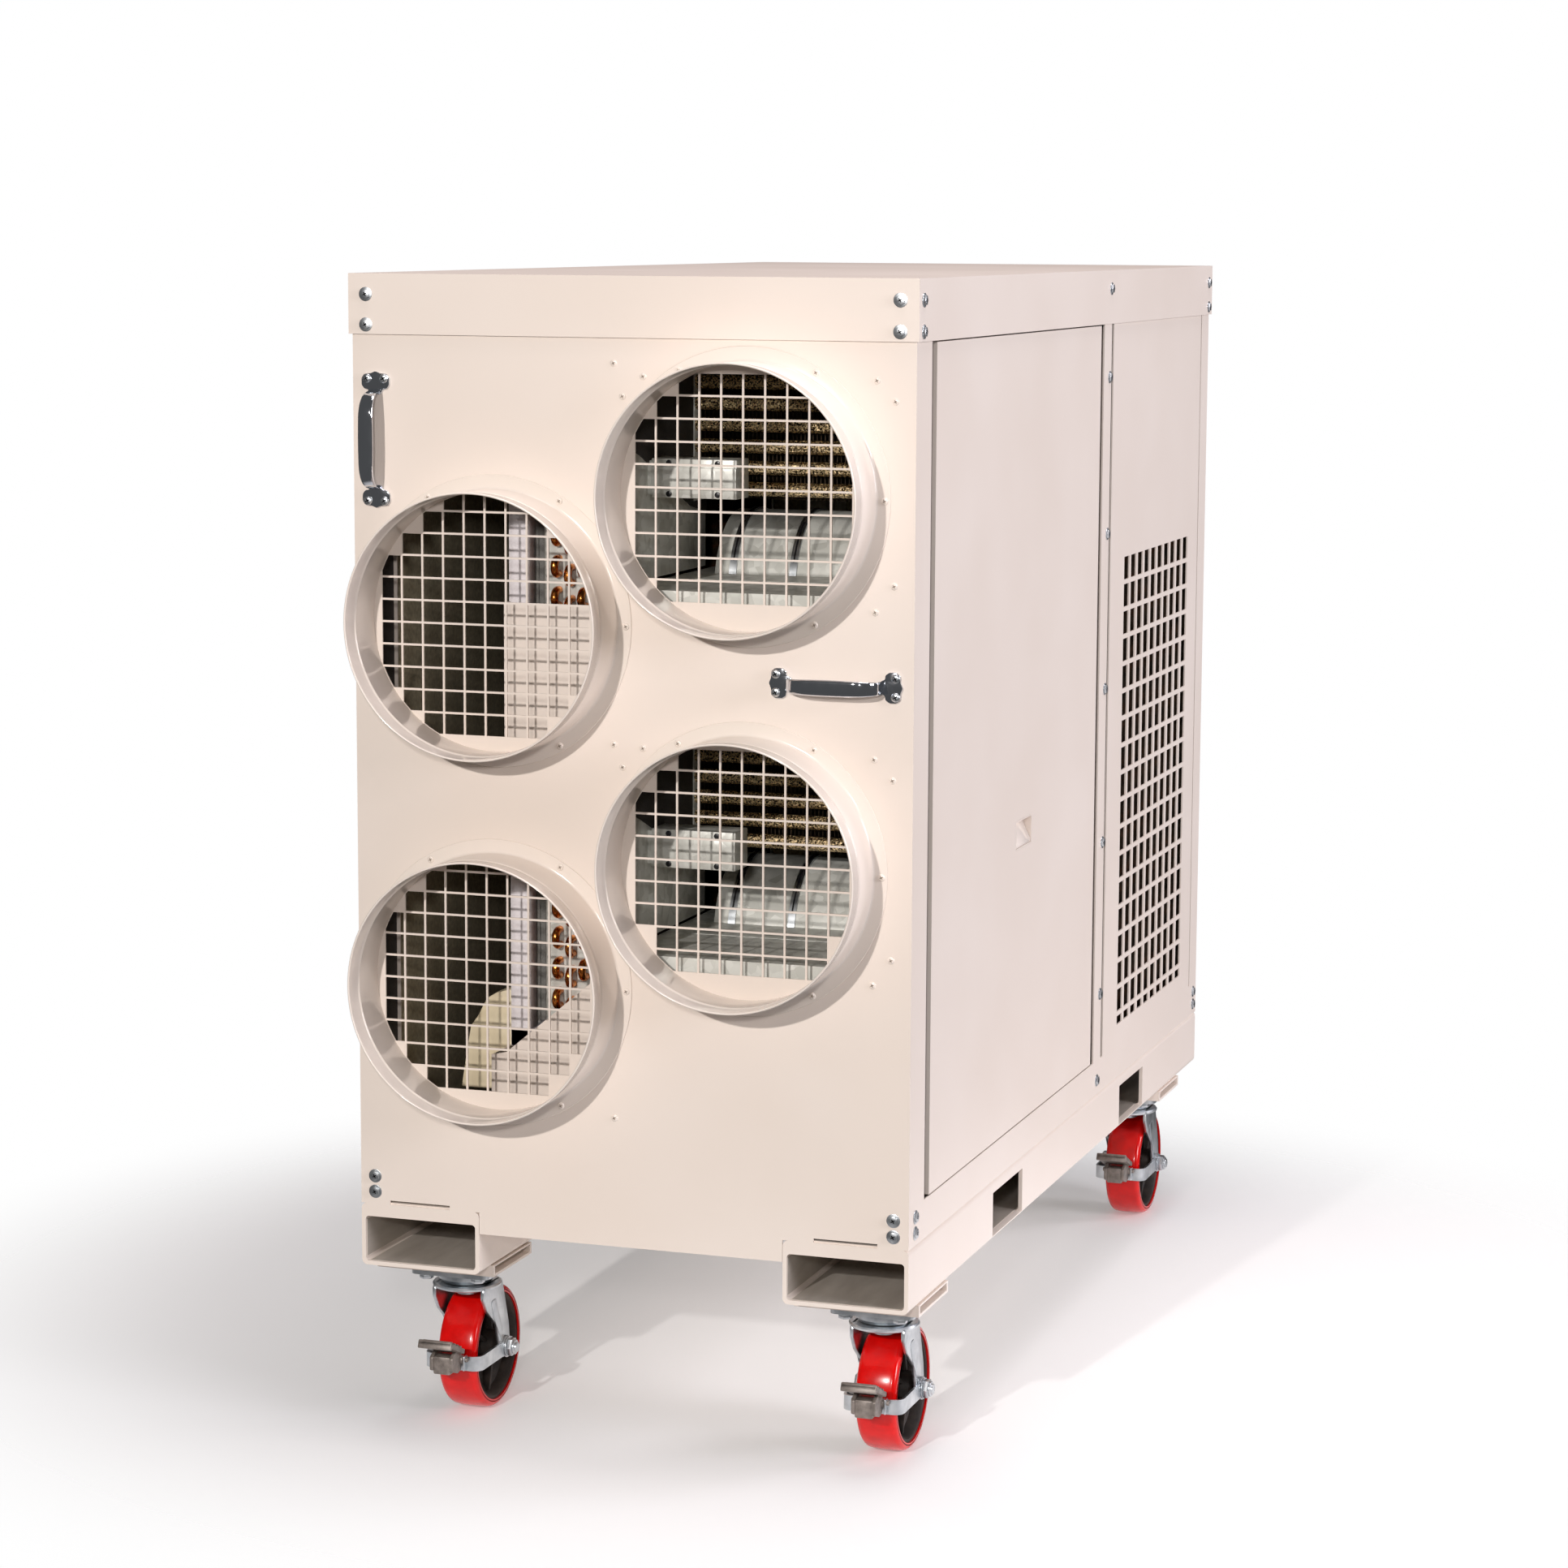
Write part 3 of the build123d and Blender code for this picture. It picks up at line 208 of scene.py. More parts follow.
def sand_cast_iron():
    """Sand-cast iron under thin dark paint: rough grain about 1 mm across."""
    material, tree, shader, place = new_material("sand cast iron", Metallic=0.25)
    grain = speckle(tree, place, 1.4, 5.0)
    clouds = speckle(tree, place, 18, 3.0)
    colour = blend_colours(tree, clouds, "#1a1512", "#3a302a")
    tree.links.new(colour, shader.inputs["Base Color"])
    tree.links.new(spread(tree, grain, 0.45, 0.75), shader.inputs["Roughness"])
    bumped(tree, shader, grain, 0.5, 0.4)
    return material


def phosphated_casting():
    """Grey phosphated zinc casting of the brake pedals: satin, paler at its edges."""
    material, tree, shader, place = new_material("phosphated casting", Metallic=0.4)
    clouds = speckle(tree, place, 9, 4.0)
    colour = blend_colours(tree, clouds, "#6d655f", "#958b84")
    tree.links.new(edge_wear(tree, colour, "#a29a94", 0.8, 0.7), shader.inputs["Base Color"])
    tree.links.new(spread(tree, clouds, 0.35, 0.55), shader.inputs["Roughness"])
    bumped(tree, shader, speckle(tree, place, 1.5), 0.25, 0.1)
    return material


def foam_with_gap_shade():
    """Closed-cell neoprene foam: matt charcoal with fine open pores, drawn darker than the foam's own colour as
    painted shade for the narrow gaps it sits in.
    """
    material, tree, shader, place = new_material("closed cell foam", Roughness=0.85)
    pores = speckle(tree, place, 2.0, 4.0)
    # Charcoal pushed darker than the foam: partly its own colour, partly painted shade.
    tree.links.new(blend_colours(tree, pores, "#2c2927", "#433f3b"), shader.inputs["Base Color"])
    bumped(tree, shader, pores, 0.5, 0.4)
    return material


def lining_with_painted_light():
    """Acoustic lining, black with an olive cast, glued to the inner walls; drawn in a light olive-tan, whose lift
    above the black is painted light for the inside of the bays.
    """
    material, tree, shader, place = new_material("acoustic lining", Roughness=0.7)
    fibres = speckle(tree, place, 5.0, 6.0)
    # The light tan is painted light: the lining itself is near-black.
    tree.links.new(blend_colours(tree, fibres, "#8f8670", "#b0a68e"), shader.inputs["Base Color"])
    bumped(tree, shader, fibres, 0.4, 0.5)
    return material


def fins_with_painted_shade():
    """Thin aluminium fin stock, drawn dark brown: painted shade for the dark deep in the fin pack."""
    material, tree, shader, place = new_material("aluminium fin stock", Metallic=0.9)
    clouds = speckle(tree, place, 30, 3.0)
    # The dark browns are painted shade, not the aluminium's own colour.
    tree.links.new(blend_colours(tree, clouds, "#2c2620", "#6b5a48"), shader.inputs["Base Color"])
    tree.links.new(spread(tree, clouds, 0.28, 0.5), shader.inputs["Roughness"])
    return material


def spine_tube_painted_glints():
    """Tube wound with fine spines: brass-brown, its bumped spines glinting; the colour speckled from near-black to
    pale gold adds painted glints and painted shade between the spines.
    """
    material, tree, shader, place = new_material("spine fin tube", Metallic=1.0, Roughness=0.32)
    grain = speckle(tree, place, 2.2, 2.0)
    # Pale gold speckles are painted glints; near-black speckles are painted shade between the spines.
    tree.links.new(blend_colours(tree, grain, "#2b1f16", "#ffe2b0", 0.40, 0.58), shader.inputs["Base Color"])
    bumped(tree, shader, grain, 1.0, 2.5)
    return material


def drawn_copper():
    """Drawn copper tube, flame-brazed: bright orange with heat tint in patches."""
    material, tree, shader, place = new_material("drawn copper tube", Metallic=1.0)
    tint = speckle(tree, place, 8, 3.0)
    tree.links.new(blend_colours(tree, tint, "#8e3f12", "#f09a4c"), shader.inputs["Base Color"])
    tree.links.new(spread(tree, tint, 0.12, 0.3), shader.inputs["Roughness"])
    return material


def filter_card():
    """White clay-coated card of the filter frames: matt, faintly grained."""
    material, tree, shader, place = new_material("coated card", Roughness=0.6)
    grain = speckle(tree, place, 3.0, 5.0)
    tree.links.new(blend_colours(tree, grain, "#e9e1e4", "#f6f1f3"), shader.inputs["Base Color"])
    bumped(tree, shader, grain, 0.1, 0.1)
    return material


def spun_polyester():
    """Pleated spun-polyester filter media: off-white, fibrous."""
    material, tree, shader, place = new_material("spun polyester media", Roughness=0.95)
    fibres = speckle(tree, place, 1.6, 6.0, (1, 1, 3))
    tree.links.new(blend_colours(tree, fibres, "#bfbab2", "#e6e2da"), shader.inputs["Base Color"])
    bumped(tree, shader, fibres, 0.5, 0.3)
    return material


def cream_moulding():
    """Injection-moulded ABS blower cheek: warm cream, low sheen."""
    material, tree, shader, place = new_material("cream ABS moulding", Roughness=0.42)
    clouds = speckle(tree, place, 60, 2.0)
    tree.links.new(blend_colours(tree, clouds, "#e6d6b4", "#f3e6c8"), shader.inputs["Base Color"])
    bumped(tree, shader, speckle(tree, place, 1.5), 0.06, 0.05)
    return material


def black_enamel():
    """Gloss black enamel on the compressor and motors."""
    material, tree, shader, place = new_material("black enamel", IOR=1.5)
    dust = speckle(tree, place, 40, 5.0)
    tree.links.new(blend_colours(tree, dust, "#0c0c0d", "#26262a"), shader.inputs["Base Color"])
    tree.links.new(spread(tree, dust, 0.18, 0.4), shader.inputs["Roughness"])
    return material


def grey_nylon():
    """Moulded black nylon of the control knob and gland: fine spark-eroded texture."""
    material, tree, shader, place = new_material("moulded nylon", Roughness=0.5)
    grain = speckle(tree, place, 0.8, 2.0)
    tree.links.new(blend_colours(tree, grain, "#1d1e20", "#2e2f31"), shader.inputs["Base Color"])
    bumped(tree, shader, grain, 0.3, 0.1)
    return material


def shaded_paint():
    """Paint in the recess of a screw, where little light reaches."""
    material, tree, shader, place = new_material("shaded paint", Roughness=0.6)
    tree.links.new(blend_colours(tree, speckle(tree, place, 2.0), "#a29284", "#bcad9f"),
                   shader.inputs["Base Color"])
    return material


def pocket_grey_brown():
    """Grey-brown for the inside of the fork tubes, darker than the cream paint, streaked lengthwise."""
    material, tree, shader, place = new_material("pocket grey brown", Metallic=0.2, Roughness=0.5)
    smudge = speckle(tree, place, 30, 4.0, (1, 0.2, 1))
    tree.links.new(blend_colours(tree, smudge, "#b3aaa0", "#d0c8be"), shader.inputs["Base Color"])
    return material


FINISH = {}


def make_finishes(colours):
    FINISH["cream"] = cream_powder_coat("cream powder coat", colours.body, colours.body_shade, 0.34, 0.10)
    FINISH["collar"] = cream_powder_coat("gloss cream coat", colours.collar, colours.body, 0.09, 0.03)
    FINISH["zinc"] = bright_zinc_plate()
    FINISH["galvanised"] = galvanised_sheet()
    FINISH["chrome"] = polished_chrome()
    FINISH["red"] = red_urethane()
    FINISH["iron"] = sand_cast_iron()
    FINISH["pedal"] = phosphated_casting()
    FINISH["foam"] = foam_with_gap_shade()
    FINISH["lining"] = lining_with_painted_light()
    FINISH["fin"] = fins_with_painted_shade()
    FINISH["copper"] = drawn_copper()
    FINISH["spine"] = spine_tube_painted_glints()
    FINISH["card"] = filter_card()
    FINISH["media"] = spun_polyester()
    FINISH["abs"] = cream_moulding()
    FINISH["enamel"] = black_enamel()
    FINISH["nylon"] = grey_nylon()
    FINISH["shaded"] = shaded_paint()
    FINISH["scale"] = pocket_grey_brown()


# ---- mesh helpers --------------------------------------------------------------
def to_piece(name, bm, finishes, body, replaces=(), angle=35.0):
    """Turns a bmesh into a named piece that rides on a body."""
    mesh = bpy.data.meshes.new(name)
    bm.to_mesh(mesh)
    bm.free()
    mesh.shade_smooth()
    mesh.set_sharp_from_angle(angle=math.radians(angle))
    for key in [finishes] if isinstance(finishes, str) else finishes:
        mesh.materials.append(FINISH[key])
    piece = bpy.data.objects.new(name, mesh)
    bpy.context.scene.collection.objects.link(piece)
    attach(piece, body)
    for node in replaces:
        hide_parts(node)
    return piece


def add_box(bm, low, high, bevel=0.0, material=0, segments=2):
    """A box between two corners, with rounded edges."""
    low, high = Vector(low), Vector(high)
    size = high - low
    place = Matrix.Translation((low + high) / 2) @ Matrix.Diagonal((*size, 1.0))
    made = bmesh.ops.create_cube(bm, size=1.0, matrix=place)
    verts = made["verts"]
    faces = {f for v in verts for f in v.link_faces}
    if bevel:
        edges = list({e for v in verts for e in v.link_edges})
        cut = bmesh.ops.bevel(bm, geom=edges, offset=bevel, segments=segments, profile=0.5,
                              affect="EDGES", material=-1)
        verts = list({v for f in cut["faces"] for v in f.verts} | {v for v in verts if v.is_valid})
        faces = {f for v in verts for f in v.link_faces}
    for face in faces:
        face.material_index = material
    return verts


def turned(axis):
    """The turn that takes +Z to an axis."""
    return Z.rotation_difference(Vector(axis)).to_matrix().to_4x4()


def add_rod(bm, start, axis, radius, length, sides=24, bevel=0.0, material=0, tip=None):
    """A cylinder, or with sides=6 a hexagon, from a point along an axis."""
    place = Matrix.Translation(Vector(start)) @ turned(axis) @ Matrix.Translation((0, 0, length / 2))
    made = bmesh.ops.create_cone(bm, cap_ends=True, segments=sides, radius1=radius,
                                 radius2=radius if tip is None else tip, depth=length, matrix=place)
    verts = made["verts"]
    if bevel:
        rims = {e for v in verts for e in v.link_edges
                if abs((e.verts[0].co - e.verts[1].co).dot(Vector(axis))) < 1e-7}
        cut = bmesh.ops.bevel(bm, geom=list(rims), offset=bevel, segments=2, profile=0.5,
                              affect="EDGES", material=-1)
        verts = list({v for f in cut["faces"] for v in f.verts} | {v for v in verts if v.is_valid})
    for face in {f for v in verts for f in v.link_faces}:
        face.material_index = material
    return verts


def add_lathe(bm, profile, centre, axis, steps=96, material=0, closed=True, angle=math.tau, start=0.0):
    """Spins a (radius, along) outline round an axis through a centre, all the way or part of it."""
    whole = angle > math.tau - 1e-6
    before = set(bm.faces)
    verts = [bm.verts.new((r, 0, h)) for r, h in profile]
    count = len(verts)
    edges = [bm.edges.new((verts[i], verts[(i + 1) % count])) for i in range(count if closed else count - 1)]
    geom = verts + edges if whole else [bm.faces.new(verts)]
    bmesh.ops.spin(bm, geom=geom, axis=(0, 0, 1), cent=(0, 0, 0), angle=angle, steps=steps, use_merge=whole)
    faces = [f for f in bm.faces if f not in before]
    made = list({v for f in faces for v in f.verts})
    bmesh.ops.remove_doubles(bm, verts=made, dist=1e-6)
    faces = [f for f in bm.faces if f not in before]
    bmesh.ops.recalc_face_normals(bm, faces=faces)
    made = list({v for f in faces for v in f.verts})
    place = Matrix.Translation(Vector(centre)) @ turned(axis) @ Matrix.Rotation(start, 4, "Z")
    bmesh.ops.transform(bm, matrix=place, verts=made)
    for face in faces:
        face.material_index = material
    return made


def add_prism(bm, outline, start, across, along, out, depth, bevel=0.0, material=0):
    """Extrudes a flat outline of (across, along) points out by a depth."""
    across, along, out = Vector(across), Vector(along), Vector(out)
    verts = [bm.verts.new(Vector(start) + across * a + along * b) for a, b in outline]
    face = bm.faces.new(verts)
    made = bmesh.ops.extrude_face_region(bm, geom=[face])
    top = [v for v in made["geom"] if isinstance(v, bmesh.types.BMVert)]
    bmesh.ops.translate(bm, vec=out * depth, verts=top)
    verts = verts + top
    faces = list({f for v in verts for f in v.link_faces})
    bmesh.ops.recalc_face_normals(bm, faces=faces)
    if bevel:
        rims = [e for e in {e for v in verts for e in v.link_edges} if e.is_manifold
                and e.calc_face_angle(0) > 0.6]
        cut = bmesh.ops.bevel(bm, geom=rims, offset=bevel, segments=2, profile=0.5,
                              affect="EDGES", material=-1)
        verts = list({v for f in cut["faces"] for v in f.verts} | {v for v in verts if v.is_valid})
    for face in {f for v in verts for f in v.link_faces}:
        face.material_index = material
    return verts


def rounded(points, radius, steps=5):
    """A closed outline with each corner drawn as an arc."""
    out = []
    count = len(points)
    for i in range(count):
        here = Vector(points[i]).to_3d()
        back = (Vector(points[i - 1]).to_3d() - here)
        on = (Vector(points[(i + 1) % count]).to_3d() - here)
        turn = back.angle(on)
        reach = min(radius / math.tan(turn / 2), back.length * 0.49, on.length * 0.49)
        real = reach * math.tan(turn / 2)
        middle = here + (back.normalized() + on.normalized()).normalized() * (real / math.sin(turn / 2))
        first = here + back.normalized() * reach - middle
        last = here + on.normalized() * reach - middle
        for k in range(steps + 1):
            swing = first.slerp(last, k / steps).normalized() * real
            out.append(tuple((middle + swing)[:2]))
    return out


def solids_of(node):
    """The low and high corners of each separate solid in a CAD node."""
    bm = bmesh.new()
    bm.from_mesh(frame["nodes"][node].data)
    bmesh.ops.remove_doubles(bm, verts=bm.verts, dist=1e-6)
    left = set(bm.verts)
    boxes = []
    while left:
        stack = [left.pop()]
        island = list(stack)
        while stack:
            for edge in stack.pop().link_edges:
                for v in edge.verts:
                    if v in left:
                        left.discard(v)
                        island.append(v)
                        stack.append(v)
        low = Vector([min(v.co[i] for v in island) for i in range(3)])
        high = Vector([max(v.co[i] for v in island) for i in range(3)])
        boxes.append((low, high))
    bm.free()
    return sorted(boxes, key=lambda b: tuple(round(c, 5) for c in (*b[0], *b[1])))


def add_painted_shade_cross(bm, centre, axis, size, depth, material):
    """A flat dark cross, sunk just under the head's crown, for a Phillips recess: its dark finish is painted shade
    for the hollow.
    """
    for quarter in (0, 1):
        bar = bmesh.ops.create_cube(bm, size=1.0)["verts"]
        flat = Matrix.Diagonal((size, size * 0.26, depth, 1.0))
        spin = Matrix.Rotation(math.pi / 2 * quarter + 0.5, 4, "Z")
        bmesh.ops.transform(bm, matrix=Matrix.Translation(Vector(centre)) @ turned(axis) @ spin @ flat,
                            verts=bar)
        for face in {f for v in bar for f in v.link_faces}:
            face.material_index = material


# ---- properties ----------------------------------------------------------------
class CoolerColours(bpy.types.PropertyGroup):
    """Paint colours as sRGB hex values."""

    body: bpy.props.StringProperty(
        name="Body", description="Lit colour of the cabinet's powder coat", default="#f1e5db")
    body_shade: bpy.props.StringProperty(
        name="Body shade", description="Slightly darker drift in the powder coat", default="#eee1d6")
    collar: bpy.props.StringProperty(
        name="Collar", description="Colour of the duct collars", default="#ece2d8")


class CoolerSizes(bpy.types.PropertyGroup):
    """Sizes of the visible detail."""

    rim_radius: bpy.props.FloatProperty(
        name="Rim roll", description="Radius of the rolled rim of a collar",
        default=1.5 * MM, unit="LENGTH", subtype="DISTANCE")
    bead_depth: bpy.props.FloatProperty(
        name="Bead depth", description="Depth of the rolled bead round a collar",
        default=1.6 * MM, unit="LENGTH", subtype="DISTANCE")
    fin_pitch: bpy.props.FloatProperty(
        name="Fin pitch", description="Spacing of the coil fins, coarser than real so that they show",
        default=5.0 * MM, unit="LENGTH", subtype="DISTANCE")
    tube_pitch: bpy.props.FloatProperty(
        name="Tube pitch", description="Height between the rows of coil tubes",
        default=25.4 * MM, unit="LENGTH", subtype="DISTANCE")
    pleat_pitch: bpy.props.FloatProperty(
        name="Pleat pitch", description="Spacing of the filter's pleats",
        default=18.0 * MM, unit="LENGTH", subtype="DISTANCE")


# ---- pieces --------------------------------------------------------------------
class COOLER_OT_paint(bpy.types.Operator):
    """Gives every CAD node its finish"""

    bl_idname = "cooler.paint"
    bl_label = "Paint Frame Nodes"

    def execute(self, context):
        make_finishes(context.scene.cooler_colours)
        by_slot = {
            "cream_paint": "cream", "cream_collar": "collar", "chrome_handle": "chrome",
            "zinc_steel": "zinc", "galvanised": "galvanised", "red_tread": "red",
            "dark_iron": "iron", "pedal_metal": "pedal", "dark_foam": "foam",
            "aluminium_fin": "fin", "copper_tube": "copper", "filter_card": "card",
            "black_enamel": "enamel", "grey_control": "nylon",
        }
        slots = {row["node"]: row["material_slot"] for row in frame["record"]["subparts"]}
        for name, node in frame["nodes"].items():
            finish = FINISH[by_slot[slots[name]]]
            if not node.material_slots:
                node.data.materials.append(finish)
            for entry in node.material_slots:
                entry.material = finish
        return {"FINISHED"}


class COOLER_OT_collars(bpy.types.Operator):
    """Duct collars: flange, spigot, rolled bead and rolled rim"""

    bl_idname = "cooler.collars"
    bl_label = "Duct Collars"

    def execute(self, context):
        sizes = context.scene.cooler_sizes
        for spot in COLLARS:
            node = f"duct_collar_{spot}"
            low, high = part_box(node)
            cx, cz = (low[0] + high[0]) / 2, (low[2] + high[2]) / 2
            length = high[1] - low[1]
            flange = (high[0] - low[0]) / 2
            outer = flange - 17.0 * MM
            inner = outer - 1.2 * MM
            sheet = 1.5 * MM
            bead_at = length - 27.0 * MM
            groove = 6.0 * MM
            depth = sizes.bead_depth
            roll = sizes.rim_radius
            edge = roll * 0.8
            profile = [(inner, 0.0), (flange - 0.5 * MM, 0.0), (flange, 0.5 * MM),
                       (flange - 0.5 * MM, sheet), (outer + 3 * MM, sheet),
                       (outer + 1.0 * MM, sheet + 0.6 * MM), (outer, sheet + 2.4 * MM)]
            for k in range(9):
                t = k / 8
                dip = depth * 0.5 * (1 - math.cos(math.tau * t))
                profile.append((outer - dip, bead_at + groove * (t - 0.5)))
            profile += [(outer, length - 5 * MM), (outer + edge * 0.6, length - 3.6 * MM)]
            for k in range(7):
                turn = -0.4 + (math.pi + 0.6) * k / 6
                profile.append((outer + edge - roll * 0.8 + roll * math.cos(turn) * 0.8,
                                length - roll + roll * math.sin(turn)))
            profile.append((inner, length - 4 * MM))
            for k in range(9):
                t = k / 8
                dip = depth * 0.5 * (1 - math.cos(math.tau * t))
                profile.append((inner - dip, bead_at + groove * (0.5 - t)))
            bm = bmesh.new()
            add_lathe(bm, profile, (cx, FRONT, cz), -Y, 128)
            to_piece(f"collar_{spot}", bm, "collar", "cabinet", [node], 50.0)
        return {"FINISHED"}


class COOLER_OT_screws(bpy.types.Operator):
    """Washer-head corner screws, small painted screws and the pull screws"""

    bl_idname = "cooler.screws"
    bl_label = "Screws"

    def execute(self, context):
        bm = bmesh.new()
        for low, high in solids_of("corner_screws"):
            size = high - low
            i = 0 if size[0] < size[1] else 1
            sign = 1 if (low + high)[i] > 0 else -1
            axis = Vector((0, 0, 0))
            axis[i] = sign
            middle = (low + high) / 2
            tip = high[i] if sign > 0 else low[i]
            seat = middle.copy()
            seat[i] = tip - sign * 3.6 * MM
            radius = min(size[1 - i], size[2]) / 2
            add_rod(bm, seat, axis, radius, 1.0 * MM, 28, 0.3 * MM)
            add_rod(bm, seat + axis * 0.9 * MM, axis, radius * 0.74, 2.4 * MM, 6, 0.5 * MM)
            # The cross takes the black enamel slot: painted shade for the recess hollow.
            add_painted_shade_cross(bm, seat + axis * 3.25 * MM, axis, 5.2 * MM, 0.3 * MM, 1)
        to_piece("corner_screw_heads", bm, ("zinc", "enamel"), "cabinet",
                 ["corner_screws"], 30.0)
        # The crosses take the shaded paint on the painted screws and the black enamel on the pull screws: painted
        # shade for the recess hollow.
        for node, finishes, slot, height, radius in (
                ("painted_screws", ("collar", "shaded"), "cream_paint", 1.6 * MM, 4.2 * MM),
                ("handle_screws", ("zinc", "enamel"), "zinc_steel", 2.08 * MM, 5.4 * MM)):
            bm = bmesh.new()
            for low, high in solids_of(node):
                middle = (low + high) / 2
                seat = Vector((middle[0], low[1] + height, middle[2]))
                profile = [(0.0, 0.0), (radius, 0.0), (radius * 0.97, height * 0.35),
                           (radius * 0.8, height * 0.72), (radius * 0.45, height * 0.93), (0.0, height)]
                add_lathe(bm, profile, seat, -Y, 20, closed=False)
                add_painted_shade_cross(bm, seat - Y * (height - 0.05 * MM), -Y, radius * 1.05, 0.3 * MM, 1)
            to_piece(f"{node.split('_')[0]}_screw_heads", bm, finishes, "cabinet",
                     [node], 50.0)
        return {"FINISHED"}


class COOLER_OT_pulls(bpy.types.Operator):
    """Chrome strip pulls with butterfly feet"""

    bl_idname = "cooler.pulls"
    bl_label = "Chrome Pulls"

    def execute(self, context):
        bm = bmesh.new()
        for low, high in solids_of("door_handles"):
            size = high - low
            upright = size[2] > size[0]
            centre = Vector(((low[0] + high[0]) / 2, high[1], (low[2] + high[2]) / 2))
            along = Z if upright else X
            across = X if upright else -Z
            half = (size[2] if upright else size[0]) / 2
            reach = size[1]
            foot = 24.0 * MM
            stations = 33
            rings = []
            for k in range(stations):
                t = -1 + 2 * k / (stations - 1)
                rise = 1 - abs(t) ** 5
                neck = 1 - 0.22 * abs(t) ** 2.2
                out = 2.5 * MM + (reach - 6.2 * MM) * min(1.0, rise ** 0.55 * 1.02)
                width = 9.4 * MM * neck
                spot = centre + along * ((half - foot * 0.9) * t) - Y * out
                ring = []
                for j in range(16):
                    turn = math.tau * j / 16
                    square = abs(math.cos(turn)) ** 0.5 * math.copysign(1, math.cos(turn))
                    thin = abs(math.sin(turn)) ** 0.8 * math.copysign(1, math.sin(turn))
                    ring.append(bm.verts.new(spot + across * width * square - Y * 2.4 * MM * thin))
                rings.append(ring)
            edges = []
            for ring in rings:
                edges.append([bm.edges.new((ring[j], ring[(j + 1) % 16])) for j in range(16)])
            faces = []
            for a, b in zip(edges, edges[1:]):
                faces += bmesh.ops.bridge_loops(bm, edges=a + b)["faces"]
            for ring in (rings[0], rings[-1]):
                faces.append(bm.faces.new(ring))
            for end in (-1, 1):
                seat = centre + along * end * (half - foot / 2)
                points = [(-17.5, -4), (-14, -9), (-6, -9.5), (0, -12), (6, -9.5), (14, -9), (17.5, -4),
                          (17.5, 4), (14, 9), (9, 9), (7.5, 15), (-7.5, 15), (-9, 9), (-14, 9), (-17.5, 4)]
                outline = rounded([(a * MM, -end * b * MM) for a, b in points], 4 * MM, 3)
                add_prism(bm, outline, seat, across, along, -Y, 3.4 * MM, 0.8 * MM)
            bmesh.ops.recalc_face_normals(bm, faces=bm.faces)
        to_piece("chrome_pulls", bm, "chrome", "cabinet", ["door_handles"], 40.0)
        return {"FINISHED"}


